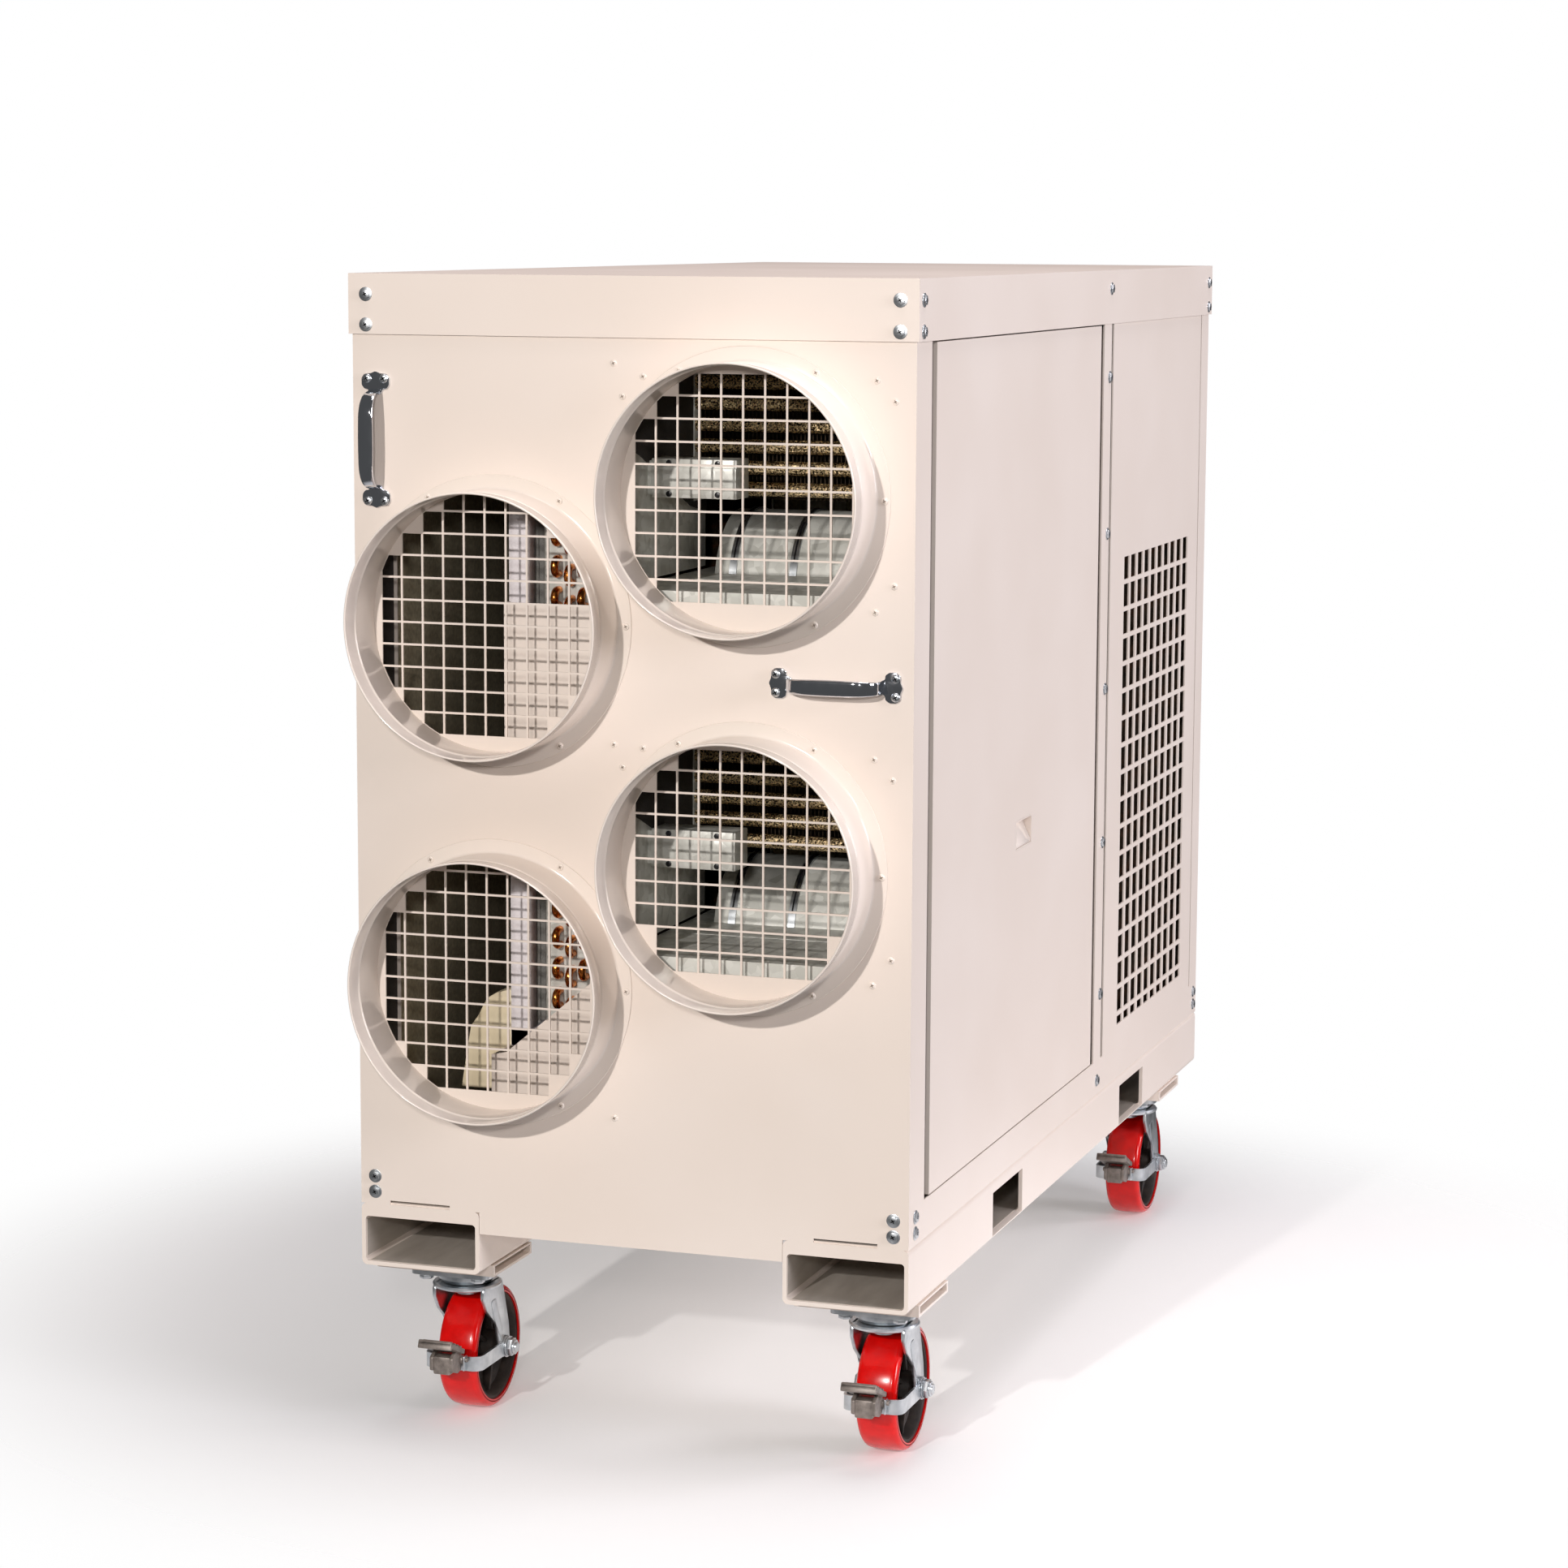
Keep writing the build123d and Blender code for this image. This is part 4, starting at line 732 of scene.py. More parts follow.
class COOLER_OT_casters(bpy.types.Operator):
    """Casters: stamped fork, cast wheel, red tread, brake strap and pedal"""

    bl_idname = "cooler.casters"
    bl_label = "Braked Casters"

    def execute(self, context):
        for corner in CORNERS:
            self.wheel(corner)
            self.fork(corner)
            self.strap(corner)
            self.pedal(corner)
        self.plates()
        return {"FINISHED"}

    def wheel(self, corner):
        low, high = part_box(f"wheel_tread_{corner}")
        centre = Vector([(a + b) / 2 for a, b in zip(low, high)])
        radius = (high[2] - low[2]) / 2
        half = (high[0] - low[0]) / 2
        rim = radius - 10.0 * MM
        profile = [(rim, -half), (rim + 3 * MM, -half)]
        for k in range(7):
            turn = math.pi / 2 * k / 6
            profile.append((radius - 8 * MM + 7.2 * MM * math.sin(turn), -half + 8 * MM - 8 * MM * math.cos(turn)))
        profile += [(radius - 0.1 * MM, -half * 0.45), (radius, 0.0), (radius - 0.1 * MM, half * 0.45)]
        for k in range(7):
            turn = math.pi / 2 * (1 - k / 6)
            profile.append((radius - 8 * MM + 7.2 * MM * math.sin(turn), half - 8 * MM + 8 * MM * math.cos(turn)))
        profile += [(rim + 3 * MM, half), (rim, half)]
        bm = bmesh.new()
        add_lathe(bm, profile, centre, X, 80)
        to_piece(f"tread_{corner}", bm, "red", f"wheel_{corner}", [f"wheel_tread_{corner}"], 60.0)
        bm = bmesh.new()
        core_low, core_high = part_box(f"wheel_core_{corner}")
        hub_half = (core_high[0] - core_low[0]) / 2
        edge = half - 2.5 * MM
        bore = 6.45 * MM
        web = [(bore, -hub_half), (15 * MM, -hub_half), (18.5 * MM, -hub_half + 3 * MM),
               (21 * MM, -8 * MM), (26 * MM, -5 * MM), (rim - 16 * MM, -5 * MM), (rim - 9 * MM, -9 * MM),
               (rim - 6 * MM, -edge + 2 * MM), (rim - 4 * MM, -edge), (rim, -edge)]
        add_lathe(bm, web + [(r, -h) for r, h in reversed(web)], centre, X, 64)
        for side in (-1, 1):
            for n in range(6):
                turn = Matrix.Rotation(math.tau * n / 6, 4, "X")
                rib = add_box(bm, (min(side * 4, side * 17) * MM, -2.6 * MM, 19 * MM),
                              (max(side * 4, side * 17) * MM, 2.6 * MM, rim - 5 * MM), 1.2 * MM)
                for v in rib:
                    if abs(v.co.x) > 10 * MM and v.co.z > 30 * MM:
                        v.co.x *= 0.75
                bmesh.ops.transform(bm, matrix=Matrix.Translation(centre) @ turn, verts=rib)
        to_piece(f"core_{corner}", bm, "iron", f"wheel_{corner}", [f"wheel_core_{corner}"], 40.0)

    def fork(self, corner):
        node = f"caster_fork_{corner}"
        low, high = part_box(node)
        tread_low, tread_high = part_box(f"wheel_tread_{corner}")
        axle = Vector([(a + b) / 2 for a, b in zip(tread_low, tread_high)])
        pivot_x = axle[0]
        pivot_y = axle[1] - 38.0 * MM
        top = high[2]
        inner = (tread_high[0] - tread_low[0]) / 2 + 4.0 * MM
        bm = bmesh.new()
        crown = [(8.5 * MM, -6 * MM), (38 * MM, -6 * MM), (41.5 * MM, -4.5 * MM), (42 * MM, -2 * MM),
                 (40.5 * MM, 0.0), (30 * MM, 0.0), (8.5 * MM, 0.0)]
        add_lathe(bm, crown, (pivot_x, pivot_y, top), Z, 56)
        rake = [(-29, 0), (29, 0), (36, -20), (50, -62), (54, -90), (48, -103), (28, -103),
                (23, -90), (14, -58), (-16, -34), (-28, -16)]
        for side in (-1, 1):
            start = Vector((pivot_x + side * inner, pivot_y, top))
            outline = rounded([(a * MM, b * MM) for a, b in rake], 9 * MM, 4)
            add_prism(bm, outline, start, Y, Z, X * side, 5 * MM, 1.2 * MM)
            # The stamped leg has a raised rib down its middle.
            ridge = [(-8, -22), (8, -22), (36, -84), (28, -84), (2, -46)]
            outline = rounded([(a * MM, b * MM) for a, b in ridge], 4 * MM, 3)
            add_prism(bm, outline, start + X * side * 4.6 * MM, Y, Z, X * side, 1.2 * MM, 0.5 * MM)
        tip = max(abs(high[0] - axle[0]), abs(low[0] - axle[0]))
        strap_out = inner + 5 * MM + 3.4 * MM
        add_rod(bm, axle - X * (strap_out + 5 * MM), X, 6.3 * MM, strap_out + 5 * MM + tip, 20, 0.6 * MM)
        for side in (-1, 1):
            seat = axle + X * side * strap_out
            add_rod(bm, seat, X * side, 12.4 * MM, 1.4 * MM, 28, 0.3 * MM)
            add_rod(bm, seat + X * side * 1.3 * MM, X * side, 11.6 * MM, 7.0 * MM, 6, 0.9 * MM)
            if side > 0:
                add_rod(bm, seat + X * 8.1 * MM, X, 9.2 * MM, 2.4 * MM, 24, 0.8 * MM)
        to_piece(f"fork_{corner}", bm, "zinc", f"swivel_{corner}", [node], 35.0)

    def strap(self, corner):
        low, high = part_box(f"brake_strap_{corner}")
        cx = (low[0] + high[0]) / 2
        half = (high[0] - low[0]) / 2
        tread_low, tread_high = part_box(f"wheel_tread_{corner}")
        axle_z = (tread_low[2] + tread_high[2]) / 2
        band = 9.0 * MM
        gauge = 3.0 * MM
        bm = bmesh.new()
        nose = low[1] + 9 * MM
        path = [(-half, high[1])]
        corner_arc = 12 * MM
        for side in (-1, 1):
            for k in range(7):
                turn = math.pi / 2 * k / 6
                if side < 0:
                    path.append((-half + corner_arc - corner_arc * math.cos(turn),
                                 nose + corner_arc - corner_arc * math.sin(turn)))
                else:
                    path.append((half - corner_arc + corner_arc * math.sin(turn),
                                 nose + corner_arc - corner_arc * math.cos(turn)))
        path.append((half, high[1]))
        verts = [bm.verts.new((cx + x, y, axle_z - band)) for x, y in path]
        edges = [bm.edges.new(pair) for pair in zip(verts, verts[1:])]
        made = bmesh.ops.extrude_edge_only(bm, edges=edges)["geom"]
        bmesh.ops.translate(bm, vec=(0, 0, band * 2), verts=[v for v in made if isinstance(v, bmesh.types.BMVert)])
        bmesh.ops.recalc_face_normals(bm, faces=bm.faces)
        outward = bm.faces[:][0]
        if (outward.calc_center_median() - Vector((cx, outward.calc_center_median().y, axle_z))).dot(outward.normal) > 0:
            bmesh.ops.reverse_faces(bm, faces=bm.faces)
        bmesh.ops.solidify(bm, geom=bm.faces[:], thickness=-gauge)
        bmesh.ops.recalc_face_normals(bm, faces=bm.faces)
        # Keep the band inside its own outline whichever way it thickened.
        for v in bm.verts:
            v.co.x = max(cx - half, min(cx + half, v.co.x))
            v.co.y = max(nose, v.co.y)
        for side in (-1, 1):
            add_rod(bm, (cx + side * (half - gauge), high[1] - 14 * MM, axle_z), X * side, 13.5 * MM, gauge, 32,
                    0.4 * MM)
        for x in (-20 * MM, 18 * MM):
            add_box(bm, (cx + x, low[1], axle_z - 7 * MM), (cx + x + 2 * MM, nose + 1 * MM, high[2]), 0.6 * MM)
        to_piece(f"strap_{corner}", bm, "zinc", f"swivel_{corner}",
                 [f"brake_strap_{corner}"], 35.0)

    def pedal(self, corner):
        low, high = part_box(f"brake_pedal_{corner}")
        strap_low, strap_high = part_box(f"brake_strap_{corner}")
        cx = (low[0] + high[0]) / 2
        hinge = Vector((cx, strap_low[1] + 5 * MM, strap_high[2] - 5 * MM))
        bm = bmesh.new()
        tilt = Matrix.Rotation(math.radians(-24), 4, "X")
        plate = add_box(bm, (-21.8 * MM, -45.5 * MM, -3.2 * MM), (21.8 * MM, 0, 3.2 * MM), 1.6 * MM)
        for n in range(4):
            plate += add_box(bm, (-19 * MM, (-8.5 - 10 * n) * MM, 2.6 * MM),
                             (19 * MM, (-5.0 - 10 * n) * MM, 5.6 * MM), 0.9 * MM)
        plate += add_box(bm, (-21.8 * MM, -45.5 * MM, -6 * MM), (21.8 * MM, -41.5 * MM, 4.5 * MM), 1.5 * MM)
        bmesh.ops.transform(bm, matrix=Matrix.Translation(hinge + Vector((0, -6 * MM, 12 * MM))) @ tilt,
                            verts=plate)
        cheek = [(0, 15), (-1, -12), (-12, -14), (-29, -8), (-29, 8), (-14, 16)]
        for x in (-15, 10.5):
            add_prism(bm, rounded([(a * MM, b * MM) for a, b in cheek], 3 * MM, 3),
                      hinge + X * x * MM, Y, Z, X, 4.5 * MM, 0.8 * MM)
        add_box(bm, hinge + Vector((-11, -28, -13)) * MM, hinge + Vector((11, -5, 9)) * MM, 2.0 * MM)
        add_rod(bm, hinge - X * 17.4 * MM, X, 5.2 * MM, 34.8 * MM, 20, 0.6 * MM)
        add_rod(bm, hinge - X * 23 * MM, X, 3.0 * MM, 46 * MM, 16, 0.8 * MM)
        to_piece(f"pedal_{corner}", bm, "pedal", f"pedal_{corner}",
                 [f"brake_pedal_{corner}"], 40.0)

    def plates(self):
        bm = bmesh.new()
        for low, high in solids_of("caster_bolts"):
            cx, cy = (low[0] + high[0]) / 2, (low[1] + high[1]) / 2
            head = low[2]
            add_rod(bm, (cx, cy, head), Z, 8.5 * MM, 5.2 * MM, 6, 0.8 * MM)
            add_rod(bm, (cx, cy, head + 5.1 * MM), Z, 9.6 * MM, 1.4 * MM, 24, 0.3 * MM)
            add_rod(bm, (cx, cy, head + 6.4 * MM), Z, 4.7 * MM, high[2] - head - 6.4 * MM, 16, 0.4 * MM)
        to_piece("caster_bolt_heads", bm, "zinc", "cabinet", ["caster_bolts"], 35.0)


class COOLER_OT_coils(bpy.types.Operator):
    """Finned coils with their tubes and end plates"""

    bl_idname = "cooler.coils"
    bl_label = "Finned Coils"

    def execute(self, context):
        sizes = context.scene.cooler_sizes
        for node, name in (("evaporator_coils", "evaporator_fins"), ("condenser_coils", "condenser_fins")):
            bm = bmesh.new()
            for low, high in solids_of(node):
                self.coil(bm, low, high, sizes)
            to_piece(name, bm, ("fin", "copper", "galvanised", "spine"), "cabinet", [node], 35.0)
        return {"FINISHED"}

    def coil(self, bm, low, high, sizes):
        """Upright fins stacked along the coil, tubes running through them, end plates."""
        run = 0 if high[0] - low[0] > high[1] - low[1] else 1
        axis = X if run == 0 else Y
        # The coils over the blowers are wound tube; the others are flat fins on plain tube.
        wound = run == 0
        edge = Vector((3, 3, 3)) * MM
        if wound:
            edge[1] = 22 * MM
        inner_low, inner_high = low + edge, high - edge
        length = high[run] - low[run]
        count = int(length / sizes.fin_pitch)
        for n in range(count):
            at = low[run] + (n + 0.5) * length / count
            a, b = inner_low.copy(), inner_high.copy()
            a[run], b[run] = at - 0.25 * MM, at + 0.25 * MM
            add_box(bm, a, b)
        for row in range(int((inner_high[2] - inner_low[2]) / sizes.tube_pitch)):
            for column in range(1 if wound else 2):
                start = low.copy()
                start[run] += 2 * MM
                depth = (9 + column * 22) * MM
                start[1 - run] = high[0] - depth if run == 1 else low[1] + depth
                start[2] = inner_low[2] + (row + 0.5 + 0.5 * column) * sizes.tube_pitch
                add_rod(bm, start, axis, (8.6 if wound else 5.2) * MM, length - 4 * MM, 10,
                        material=3 if wound else 1)
        for at in (low[run], high[run] - 2 * MM):
            a, b = low.copy(), high.copy()
            a[run], b[run] = at, at + 2 * MM
            add_box(bm, a, b, 0.4 * MM, 2)


class COOLER_OT_inside(bpy.types.Operator):
    """What shows through the guards: filters, linings, boxes, straps and cheeks"""

    bl_idname = "cooler.inside"
    bl_label = "Inner Pieces"

    def execute(self, context):
        self.filters(context.scene.cooler_sizes)
        self.linings()
        self.junction_boxes()
        self.dark_wall_sheets()
        self.housing_straps()
        self.cheek()
        self.divider()
        return {"FINISHED"}

    def filters(self, sizes):
        bm = bmesh.new()
        for low, high in solids_of("air_filters"):
            border = 22 * MM
            x0, x1 = low[0], high[0]
            for z in (low[2], high[2] - border):
                add_box(bm, (x0, low[1], z), (x1, high[1], z + border), 0.6 * MM)
            for y in (low[1], high[1] - border):
                add_box(bm, (x0, y, low[2]), (x1, y + border, high[2]), 0.6 * MM)
            start = low[1] + border
            count = int((high[1] - low[1] - 2 * border) / sizes.pleat_pitch)
            verts = []
            for n in range(2 * count + 1):
                y = start + n * sizes.pleat_pitch / 2
                verts.append(bm.verts.new((x0 + (4 if n % 2 else 20) * MM, y, low[2] + border * 0.8)))
            edges = [bm.edges.new(pair) for pair in zip(verts, verts[1:])]
            made = bmesh.ops.extrude_edge_only(bm, edges=edges)["geom"]
            top = [v for v in made if isinstance(v, bmesh.types.BMVert)]
            bmesh.ops.translate(bm, vec=(0, 0, high[2] - low[2] - 1.6 * border), verts=top)
            faces = [f for f in made if isinstance(f, bmesh.types.BMFace)]
            thick = bmesh.ops.solidify(bm, geom=faces, thickness=0.8 * MM)["geom"]
            for face in faces + [f for f in thick if isinstance(f, bmesh.types.BMFace)]:
                face.material_index = 1
        to_piece("pleated_filters", bm, ("card", "media"), "cabinet", ["air_filters"], 30.0)

    def linings(self):
        """Acoustic sheets: inside both access panels and on the bulkhead, in the lining lightened as painted
        light.
        """
        for side, body in ((-1, "left_access_panel"), (1, "right_access_panel")):
            node = "access_panel_left" if side < 0 else "access_panel_right"
            low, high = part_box(node)
            bm = bmesh.new()
            x0, x1 = (low[0] + 3 * MM, low[0] + 8 * MM) if side < 0 else (high[0] - 8 * MM, high[0] - 3 * MM)
            pull_y = FRONT + 0.3255 * (REAR - FRONT)
            split = pull_y - 48 * MM
            z_split = low[2] + 0.3735 * (high[2] - low[2])
            for y0, y1, z0, z1 in ((low[1] + 4 * MM, split, low[2] + 4 * MM, high[2] - 4 * MM),
                                   (split + 96 * MM, high[1] - 4 * MM, low[2] + 4 * MM, high[2] - 4 * MM),
                                   (split, split + 96 * MM, low[2] + 4 * MM, z_split - 26 * MM),
                                   (split, split + 96 * MM, z_split + 26 * MM, high[2] - 4 * MM)):
                add_box(bm, (x0, y0, z0), (x1, y1, z1), 1.0 * MM)
            to_piece(f"panel_lining_{'left' if side < 0 else 'right'}", bm, "lining", body)
        low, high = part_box("bulkhead")
        bm = bmesh.new()
        wall = (low[1] + high[1]) / 2
        add_box(bm, (LEFT + 12 * MM, wall - 8 * MM, low[2] + 30 * MM),
                (RIGHT - 12 * MM, wall - 1 * MM, high[2] - 80 * MM), 1.0 * MM)
        to_piece("bulkhead_lining", bm, "lining", "cabinet")

    def junction_boxes(self):
        """A galvanised box with a screwed cover on the divider in each stage."""
        bm = bmesh.new()
        wall = self.wall()
        for spot, rise in (("upper_right", 13), ("lower_right", 3)):
            low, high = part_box(f"duct_collar_{spot}")
            cz = (low[2] + high[2]) / 2 + rise * MM
            y = FRONT + 96 * MM
            add_box(bm, (wall, y + 4 * MM, cz - 20 * MM), (wall + 10 * MM, y + 60 * MM, cz + 20 * MM), 1.0 * MM)
            add_box(bm, (wall + 8 * MM, y, cz - 23 * MM), (wall + 113 * MM, y + 44 * MM, cz + 23 * MM), 1.4 * MM)
            add_box(bm, (wall + 8 * MM, y - 2 * MM, cz - 13 * MM), (wall + 113 * MM, y + 1 * MM, cz + 13 * MM),
                    0.8 * MM)
            for sx in (0, 1):
                for sz in (-1, 1):
                    seat = (wall + (30 + 60 * sx) * MM, y, cz + sz * 18 * MM)
                    add_rod(bm, seat, -Y, 3.4 * MM, 2.2 * MM, 12, 0.5 * MM, 1)
        to_piece("junction_boxes", bm, ("galvanised", "enamel"), "cabinet")

    def wall(self):
        """The right-hand face of the divider."""
        return max(high[0] for low, high in solids_of("bay_divider"))

    def dark_wall_sheets(self):
        """A dark charcoal sheet on the divider over each blower, above a galvanised plate with a sloping edge."""
        bm = bmesh.new()
        slope = [(18, 56), (72, 40), (245, -30), (300, -40)]
        foam = [(18, 165), *slope, (300, 165)]
        plate = [(18, -106), *slope, (300, -106)]
        for spot in ("upper_right", "lower_right"):
            low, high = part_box(f"duct_collar_{spot}")
            start = (self.wall() + 0.2 * MM, FRONT, (low[2] + high[2]) / 2)
            add_prism(bm, [(a * MM, b * MM) for a, b in foam], start, Y, Z, X, 4 * MM, 0.6 * MM)
            add_prism(bm, [(a * MM, b * MM) for a, b in plate], start, Y, Z, X, 2 * MM, 0.3 * MM, 1)
        to_piece("dark_wall_sheets", bm, ("foam", "galvanised"), "cabinet")

    def housing_straps(self):
        """Slotted hanger straps over each blower housing."""
        bm = bmesh.new()
        radius = 96 * MM
        for low, high in solids_of("blower_housings"):
            centre = Vector(((low[0] + high[0]) / 2, high[1] - radius, high[2] - radius))
            for x in (-80 * MM, -4 * MM):
                # The two narrow bands in the black enamel slot stand for the strap's slots: painted shade for the
                # openings.
                for half, out, turn, sweep, finish in (
                        (4.5, 2.4, -195, 100, 0), (2.0, 2.9, -182, 26, 1), (1.0, 2.9, -150, 36, 1)):
                    profile = [(radius + 0.4 * MM, -half * MM), (radius + out * MM, -half * MM),
                               (radius + out * MM, half * MM), (radius + 0.4 * MM, half * MM)]
                    add_lathe(bm, profile, centre + X * x, X, 20, finish, angle=math.radians(sweep),
                              start=math.radians(turn))
        to_piece("housing_straps", bm, ("zinc", "enamel"), "cabinet")

    def cheek(self):
        """The cream moulded inlet low in the left bay, with its top rounded over."""
        low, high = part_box("duct_collar_lower_left")
        start = Vector(((low[0] + high[0]) / 2, FRONT + 150 * MM, (low[2] + high[2]) / 2))
        bm = bmesh.new()
        edge = [(-110, -164), (-103.5, -124), (-97, -87), (-88, -75), (-76, -52), (-63, -44), (-46, -39),
                (-28, -38), (-28, -164)]
        add_prism(bm, [(a * MM, b * MM) for a, b in edge], start, X, Z, Y, 60 * MM, 2.0 * MM)
        to_piece("inlet_moulding", bm, "abs", "cabinet")

    def divider(self):
        """The galvanised divider and the painted blank-off plates, as two pieces."""
        source = frame["nodes"]["bay_divider"]
        wall = self.wall()
        for name, finish, keep_wall in (("divider_sheet", "galvanised", True), ("blank_plates", "cream", False)):
            bm = bmesh.new()
            bm.from_mesh(source.data)
            bmesh.ops.remove_doubles(bm, verts=bm.verts, dist=1e-6)
            left = set(bm.verts)
            gone = []
            while left:
                stack = [left.pop()]
                island = list(stack)
                while stack:
                    for edge in stack.pop().link_edges:
                        for v in edge.verts:
                            if v in left:
                                left.discard(v)
                                island.append(v)
                                stack.append(v)
                is_wall = max(v.co.x for v in island) > wall - 0.5 * MM
                if is_wall != keep_wall:
                    gone += island
            bmesh.ops.delete(bm, geom=gone, context="VERTS")
            to_piece(name, bm, finish, "cabinet", ["bay_divider"])


class COOLER_OT_scoops(bpy.types.Operator):
    """The sloped bottoms of the recessed pulls in the access panels"""

    bl_idname = "cooler.scoops"
    bl_label = "Recessed Pulls"

    def execute(self, context):
        for side, node, body in ((1, "access_panel_right", "right_access_panel"),
                                 (-1, "access_panel_left", "left_access_panel")):
            cups = [b for b in solids_of(node) if b[1][1] - b[0][1] < 0.1]
            low, high = cups[0]
            bm = bmesh.new()
            face_x = high[0] if side > 0 else low[0]
            deep = 13.6 * MM
            wedge = [(0, 0), (0, -2.5 * MM), (-deep, -2.5 * MM), (-deep, high[2] - low[2] - 5 * MM)]
            start = Vector((face_x - side * 0.4 * MM, low[1] + 2.2 * MM, low[2] + 4.8 * MM))
            points = [(a * side, b) for a, b in wedge]
            add_prism(bm, points, start, X, Z, Y, high[1] - low[1] - 4.4 * MM, 0.3 * MM)
            to_piece(f"pull_scoop_{'right' if side > 0 else 'left'}", bm, "collar", body)
        return {"FINISHED"}


class COOLER_OT_pockets(bpy.types.Operator):
    """Thin grey-brown sheets inside the two fork pockets"""

    bl_idname = "cooler.pockets"
    bl_label = "Fork Pockets"

    def execute(self, context):
        bm = bmesh.new()
        skin = 0.4 * MM
        for side in ("left", "right"):
            low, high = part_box(f"fork_tube_{side}")
            x0, x1 = low[0] + 5 * MM, high[0] - 5 * MM
            z0, z1 = low[2] + 5 * MM, high[2] - 16 * MM
            y0, y1 = low[1] + 4 * MM, high[1] - 4 * MM
            sleeve = low[1] + 352 * MM
            add_box(bm, (x0 + 5 * MM, y0, z0), (x1 - 5 * MM, y1, z0 + skin))
            add_box(bm, (x0 + 5 * MM, y0, z1 - skin), (x1 - 5 * MM, y1, z1))
            add_box(bm, (x0, y0, z0 + 5 * MM), (x0 + skin, sleeve, z1 - 5 * MM))
            add_box(bm, (x1 - skin, y0, z0 + 5 * MM), (x1, sleeve, z1 - 5 * MM))
        to_piece("pocket_skins", bm, "scale", "cabinet")
        return {"FINISHED"}


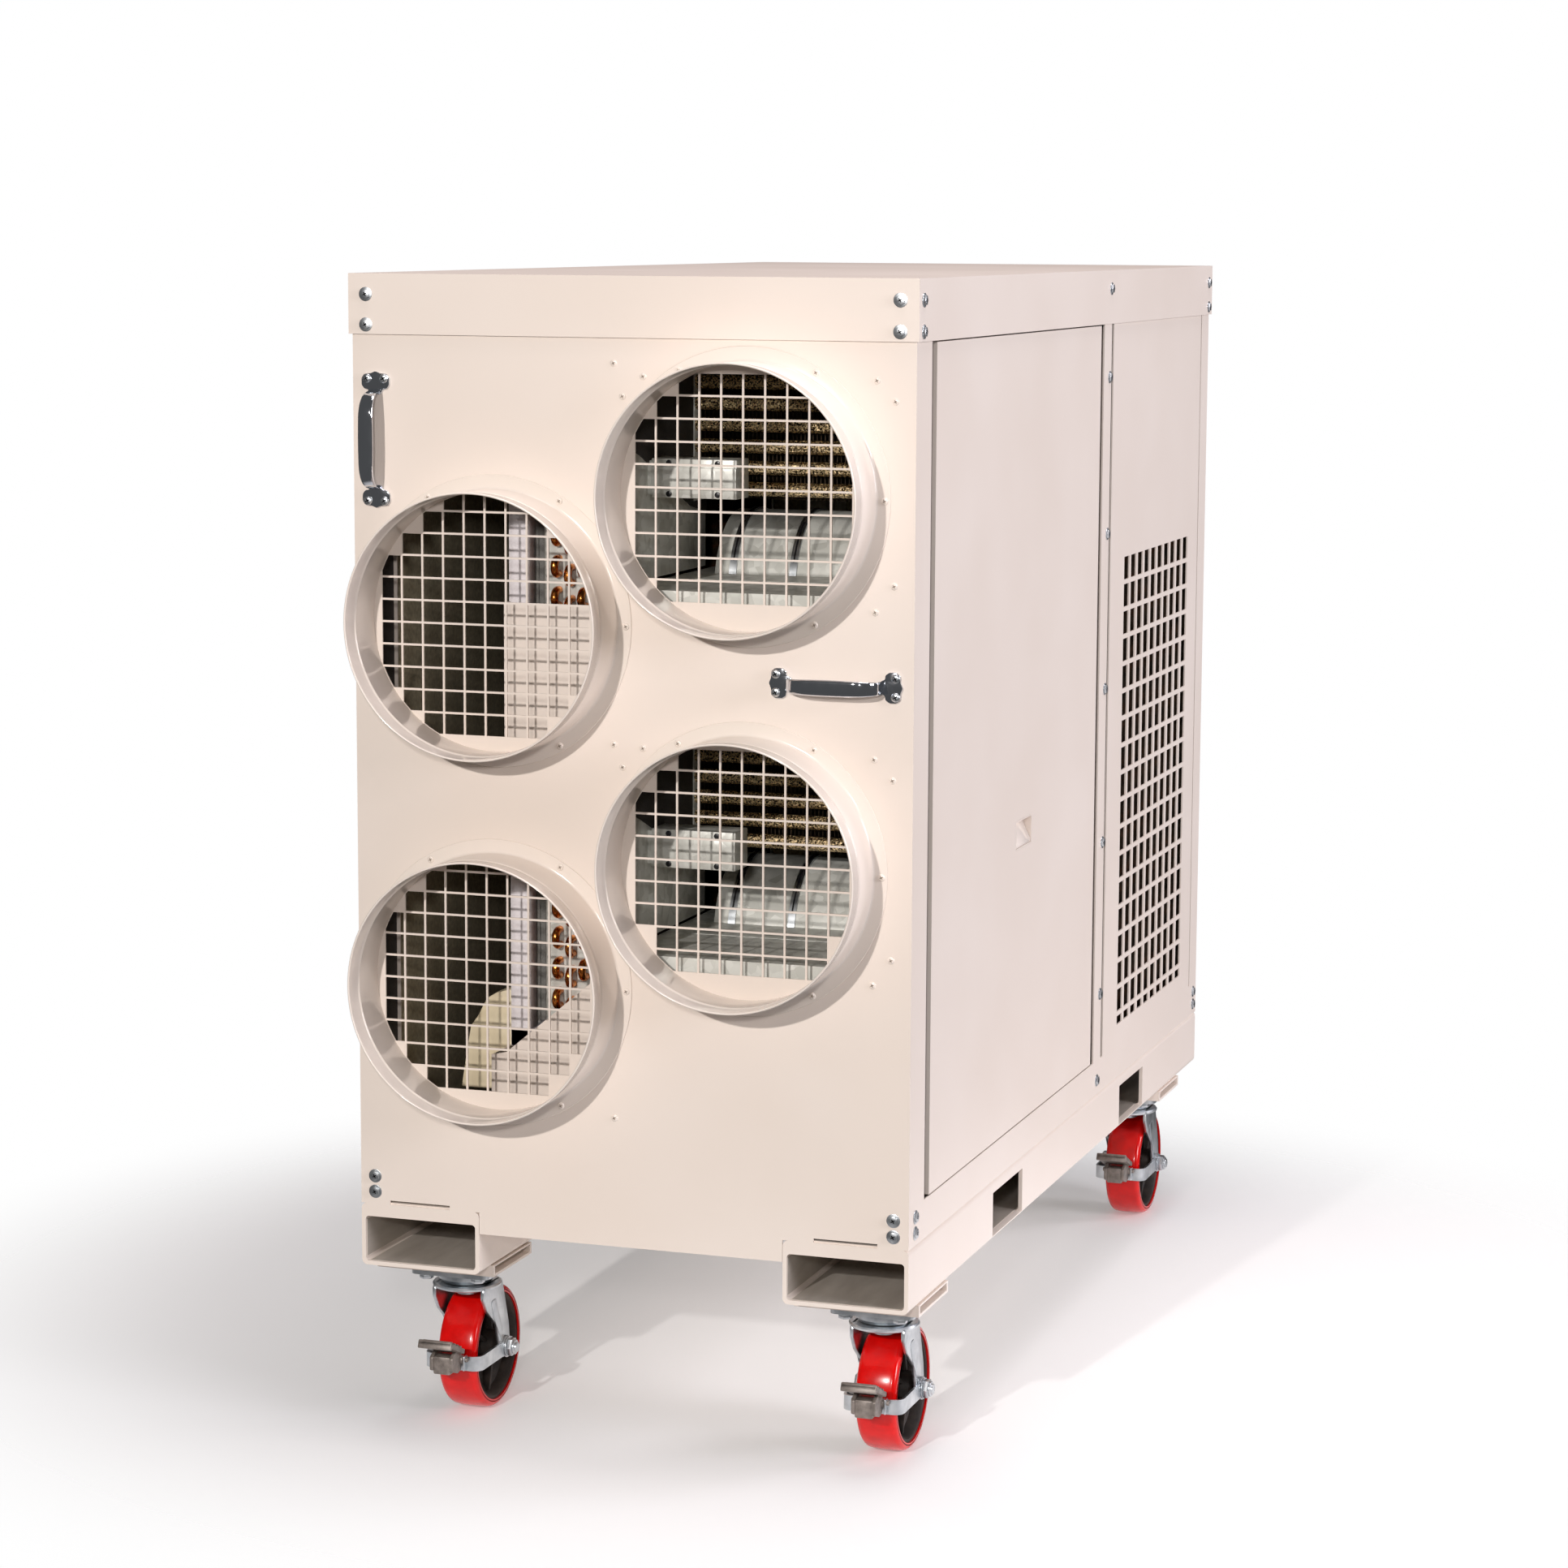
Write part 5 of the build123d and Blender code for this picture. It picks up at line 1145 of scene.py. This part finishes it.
class COOLER_OT_stage(bpy.types.Operator):
    """Floor, studio light and the camera"""

    bl_idname = "cooler.stage"
    bl_label = "Stage"

    def execute(self, context):
        scene = context.scene
        bm = bmesh.new()
        bmesh.ops.create_grid(bm, x_segments=1, y_segments=1, size=3.0)
        mesh = bpy.data.meshes.new("studio_floor")
        bm.to_mesh(mesh)
        bm.free()
        floor = bpy.data.objects.new("studio_floor", mesh)
        scene.collection.objects.link(floor)
        material, tree, shader, place = new_material("studio floor", Roughness=0.9)
        shader.inputs["Base Color"].default_value = linear("#d9d9d9")
        shader.inputs["Emission Color"].default_value = linear("#ffffff")
        shader.inputs["Emission Strength"].default_value = 0.22
        # The floor fades out round the machine, so that no horizon shows.
        reach = add_node(tree, "ShaderNodeVectorMath", {"operation": "LENGTH"}, links={0: place})
        fade = add_node(tree, "ShaderNodeMapRange",
                        {"interpolation_type": "SMOOTHSTEP"},
                        {"From Min": 0.75, "From Max": 1.4, "To Min": 1.0, "To Max": 0.0},
                        {"Value": reach.outputs["Value"]}).outputs["Result"]
        tree.links.new(fade, shader.inputs["Alpha"])
        mesh.materials.append(material)

        # The backdrop is white to look at but gives little light, so the lamps shape the metal.
        world = bpy.data.worlds.new("studio")
        scene.world = world
        world.use_nodes = True
        tree = world.node_tree
        seen = add_node(tree, "ShaderNodeLightPath").outputs["Is Camera Ray"]
        glow = add_node(tree, "ShaderNodeMapRange", inputs={"To Min": 0.08, "To Max": 1.0},
                        links={"Value": seen}).outputs["Result"]
        tree.links.new(glow, tree.nodes["Background"].inputs["Strength"])
        tree.nodes["Background"].inputs["Color"].default_value = linear("#ffffff")
        scene.view_settings.view_transform = "Standard"

        middle = Vector((0, 0, 0.75))
        lamps = (
            ("key", (-0.45, -6.3, 2.6), 0.12, 190.0, "#fffaf6"),
            ("front_flash", (1.45, -5.3, 1.9), 0.25, 52.0, "#fffcfa"),
            ("side_fill", (5.4, -1.6, 2.2), 1.8, 162.0, "#fbf8ff"),
            ("rear_fill", (5.0, 2.5, 2.0), 1.8, 120.0, "#fbf8ff"),
            ("top_fill", (0.5, -0.5, 5.2), 2.5, 142.0, "#fff6f8"),
        )
        for name, spot, size, power, tint in lamps:
            lamp = bpy.data.lights.new(name, "AREA")
            lamp.energy = power
            lamp.size = size
            lamp.color = linear(tint)[:3]
            holder = bpy.data.objects.new(name, lamp)
            holder.location = spot
            holder.rotation_euler = (middle - Vector(spot)).to_track_quat("-Z", "Y").to_euler()
            scene.collection.objects.link(holder)

        camera = bpy.data.cameras.new("camera")
        camera.sensor_width = 36.0
        camera.lens = 91.26
        camera.clip_end = 60.0
        eye = bpy.data.objects.new("camera", camera)
        eye.location = (1.6102, -4.9507, 1.4477)
        heading, dip, roll = math.radians(18.52), math.radians(8.083), math.radians(0.277)
        aim = Matrix.Rotation(heading, 4, "Z") @ Matrix.Rotation(math.pi / 2 - dip, 4, "X")
        aim = aim @ Matrix.Rotation(roll, 4, "Z")
        eye.rotation_euler = aim.to_euler()
        scene.collection.objects.link(eye)
        scene.camera = eye
        return {"FINISHED"}


class COOLER_PT_panel(bpy.types.Panel):
    """Lists the colours, sizes and pieces"""

    bl_label = "Air Conditioner"
    bl_idname = "COOLER_PT_panel"
    bl_space_type = "VIEW_3D"
    bl_region_type = "UI"
    bl_category = "Air Conditioner"

    def draw(self, context):
        layout = self.layout
        for group in (context.scene.cooler_colours, context.scene.cooler_sizes):
            for key in type(group).__annotations__:
                layout.prop(group, key)
        for kind in OPERATORS:
            layout.operator(kind.bl_idname)


OPERATORS = (
    COOLER_OT_paint,
    COOLER_OT_collars,
    COOLER_OT_screws,
    COOLER_OT_pulls,
    COOLER_OT_casters,
    COOLER_OT_coils,
    COOLER_OT_inside,
    COOLER_OT_scoops,
    COOLER_OT_pockets,
    COOLER_OT_stage,
)
CLASSES = (CoolerColours, CoolerSizes, *OPERATORS, COOLER_PT_panel)


def register():
    for kind in CLASSES:
        bpy.utils.register_class(kind)
    bpy.types.Scene.cooler_colours = bpy.props.PointerProperty(type=CoolerColours)
    bpy.types.Scene.cooler_sizes = bpy.props.PointerProperty(type=CoolerSizes)


def unregister():
    del bpy.types.Scene.cooler_sizes
    del bpy.types.Scene.cooler_colours
    for kind in reversed(CLASSES):
        bpy.utils.unregister_class(kind)


def main():
    register()
    bpy.ops.cooler.paint()
    bpy.ops.cooler.collars()
    bpy.ops.cooler.screws()
    bpy.ops.cooler.pulls()
    bpy.ops.cooler.casters()
    bpy.ops.cooler.coils()
    bpy.ops.cooler.inside()
    bpy.ops.cooler.scoops()
    bpy.ops.cooler.pockets()
    bpy.ops.cooler.stage()


if __name__ == "__main__":
    main()
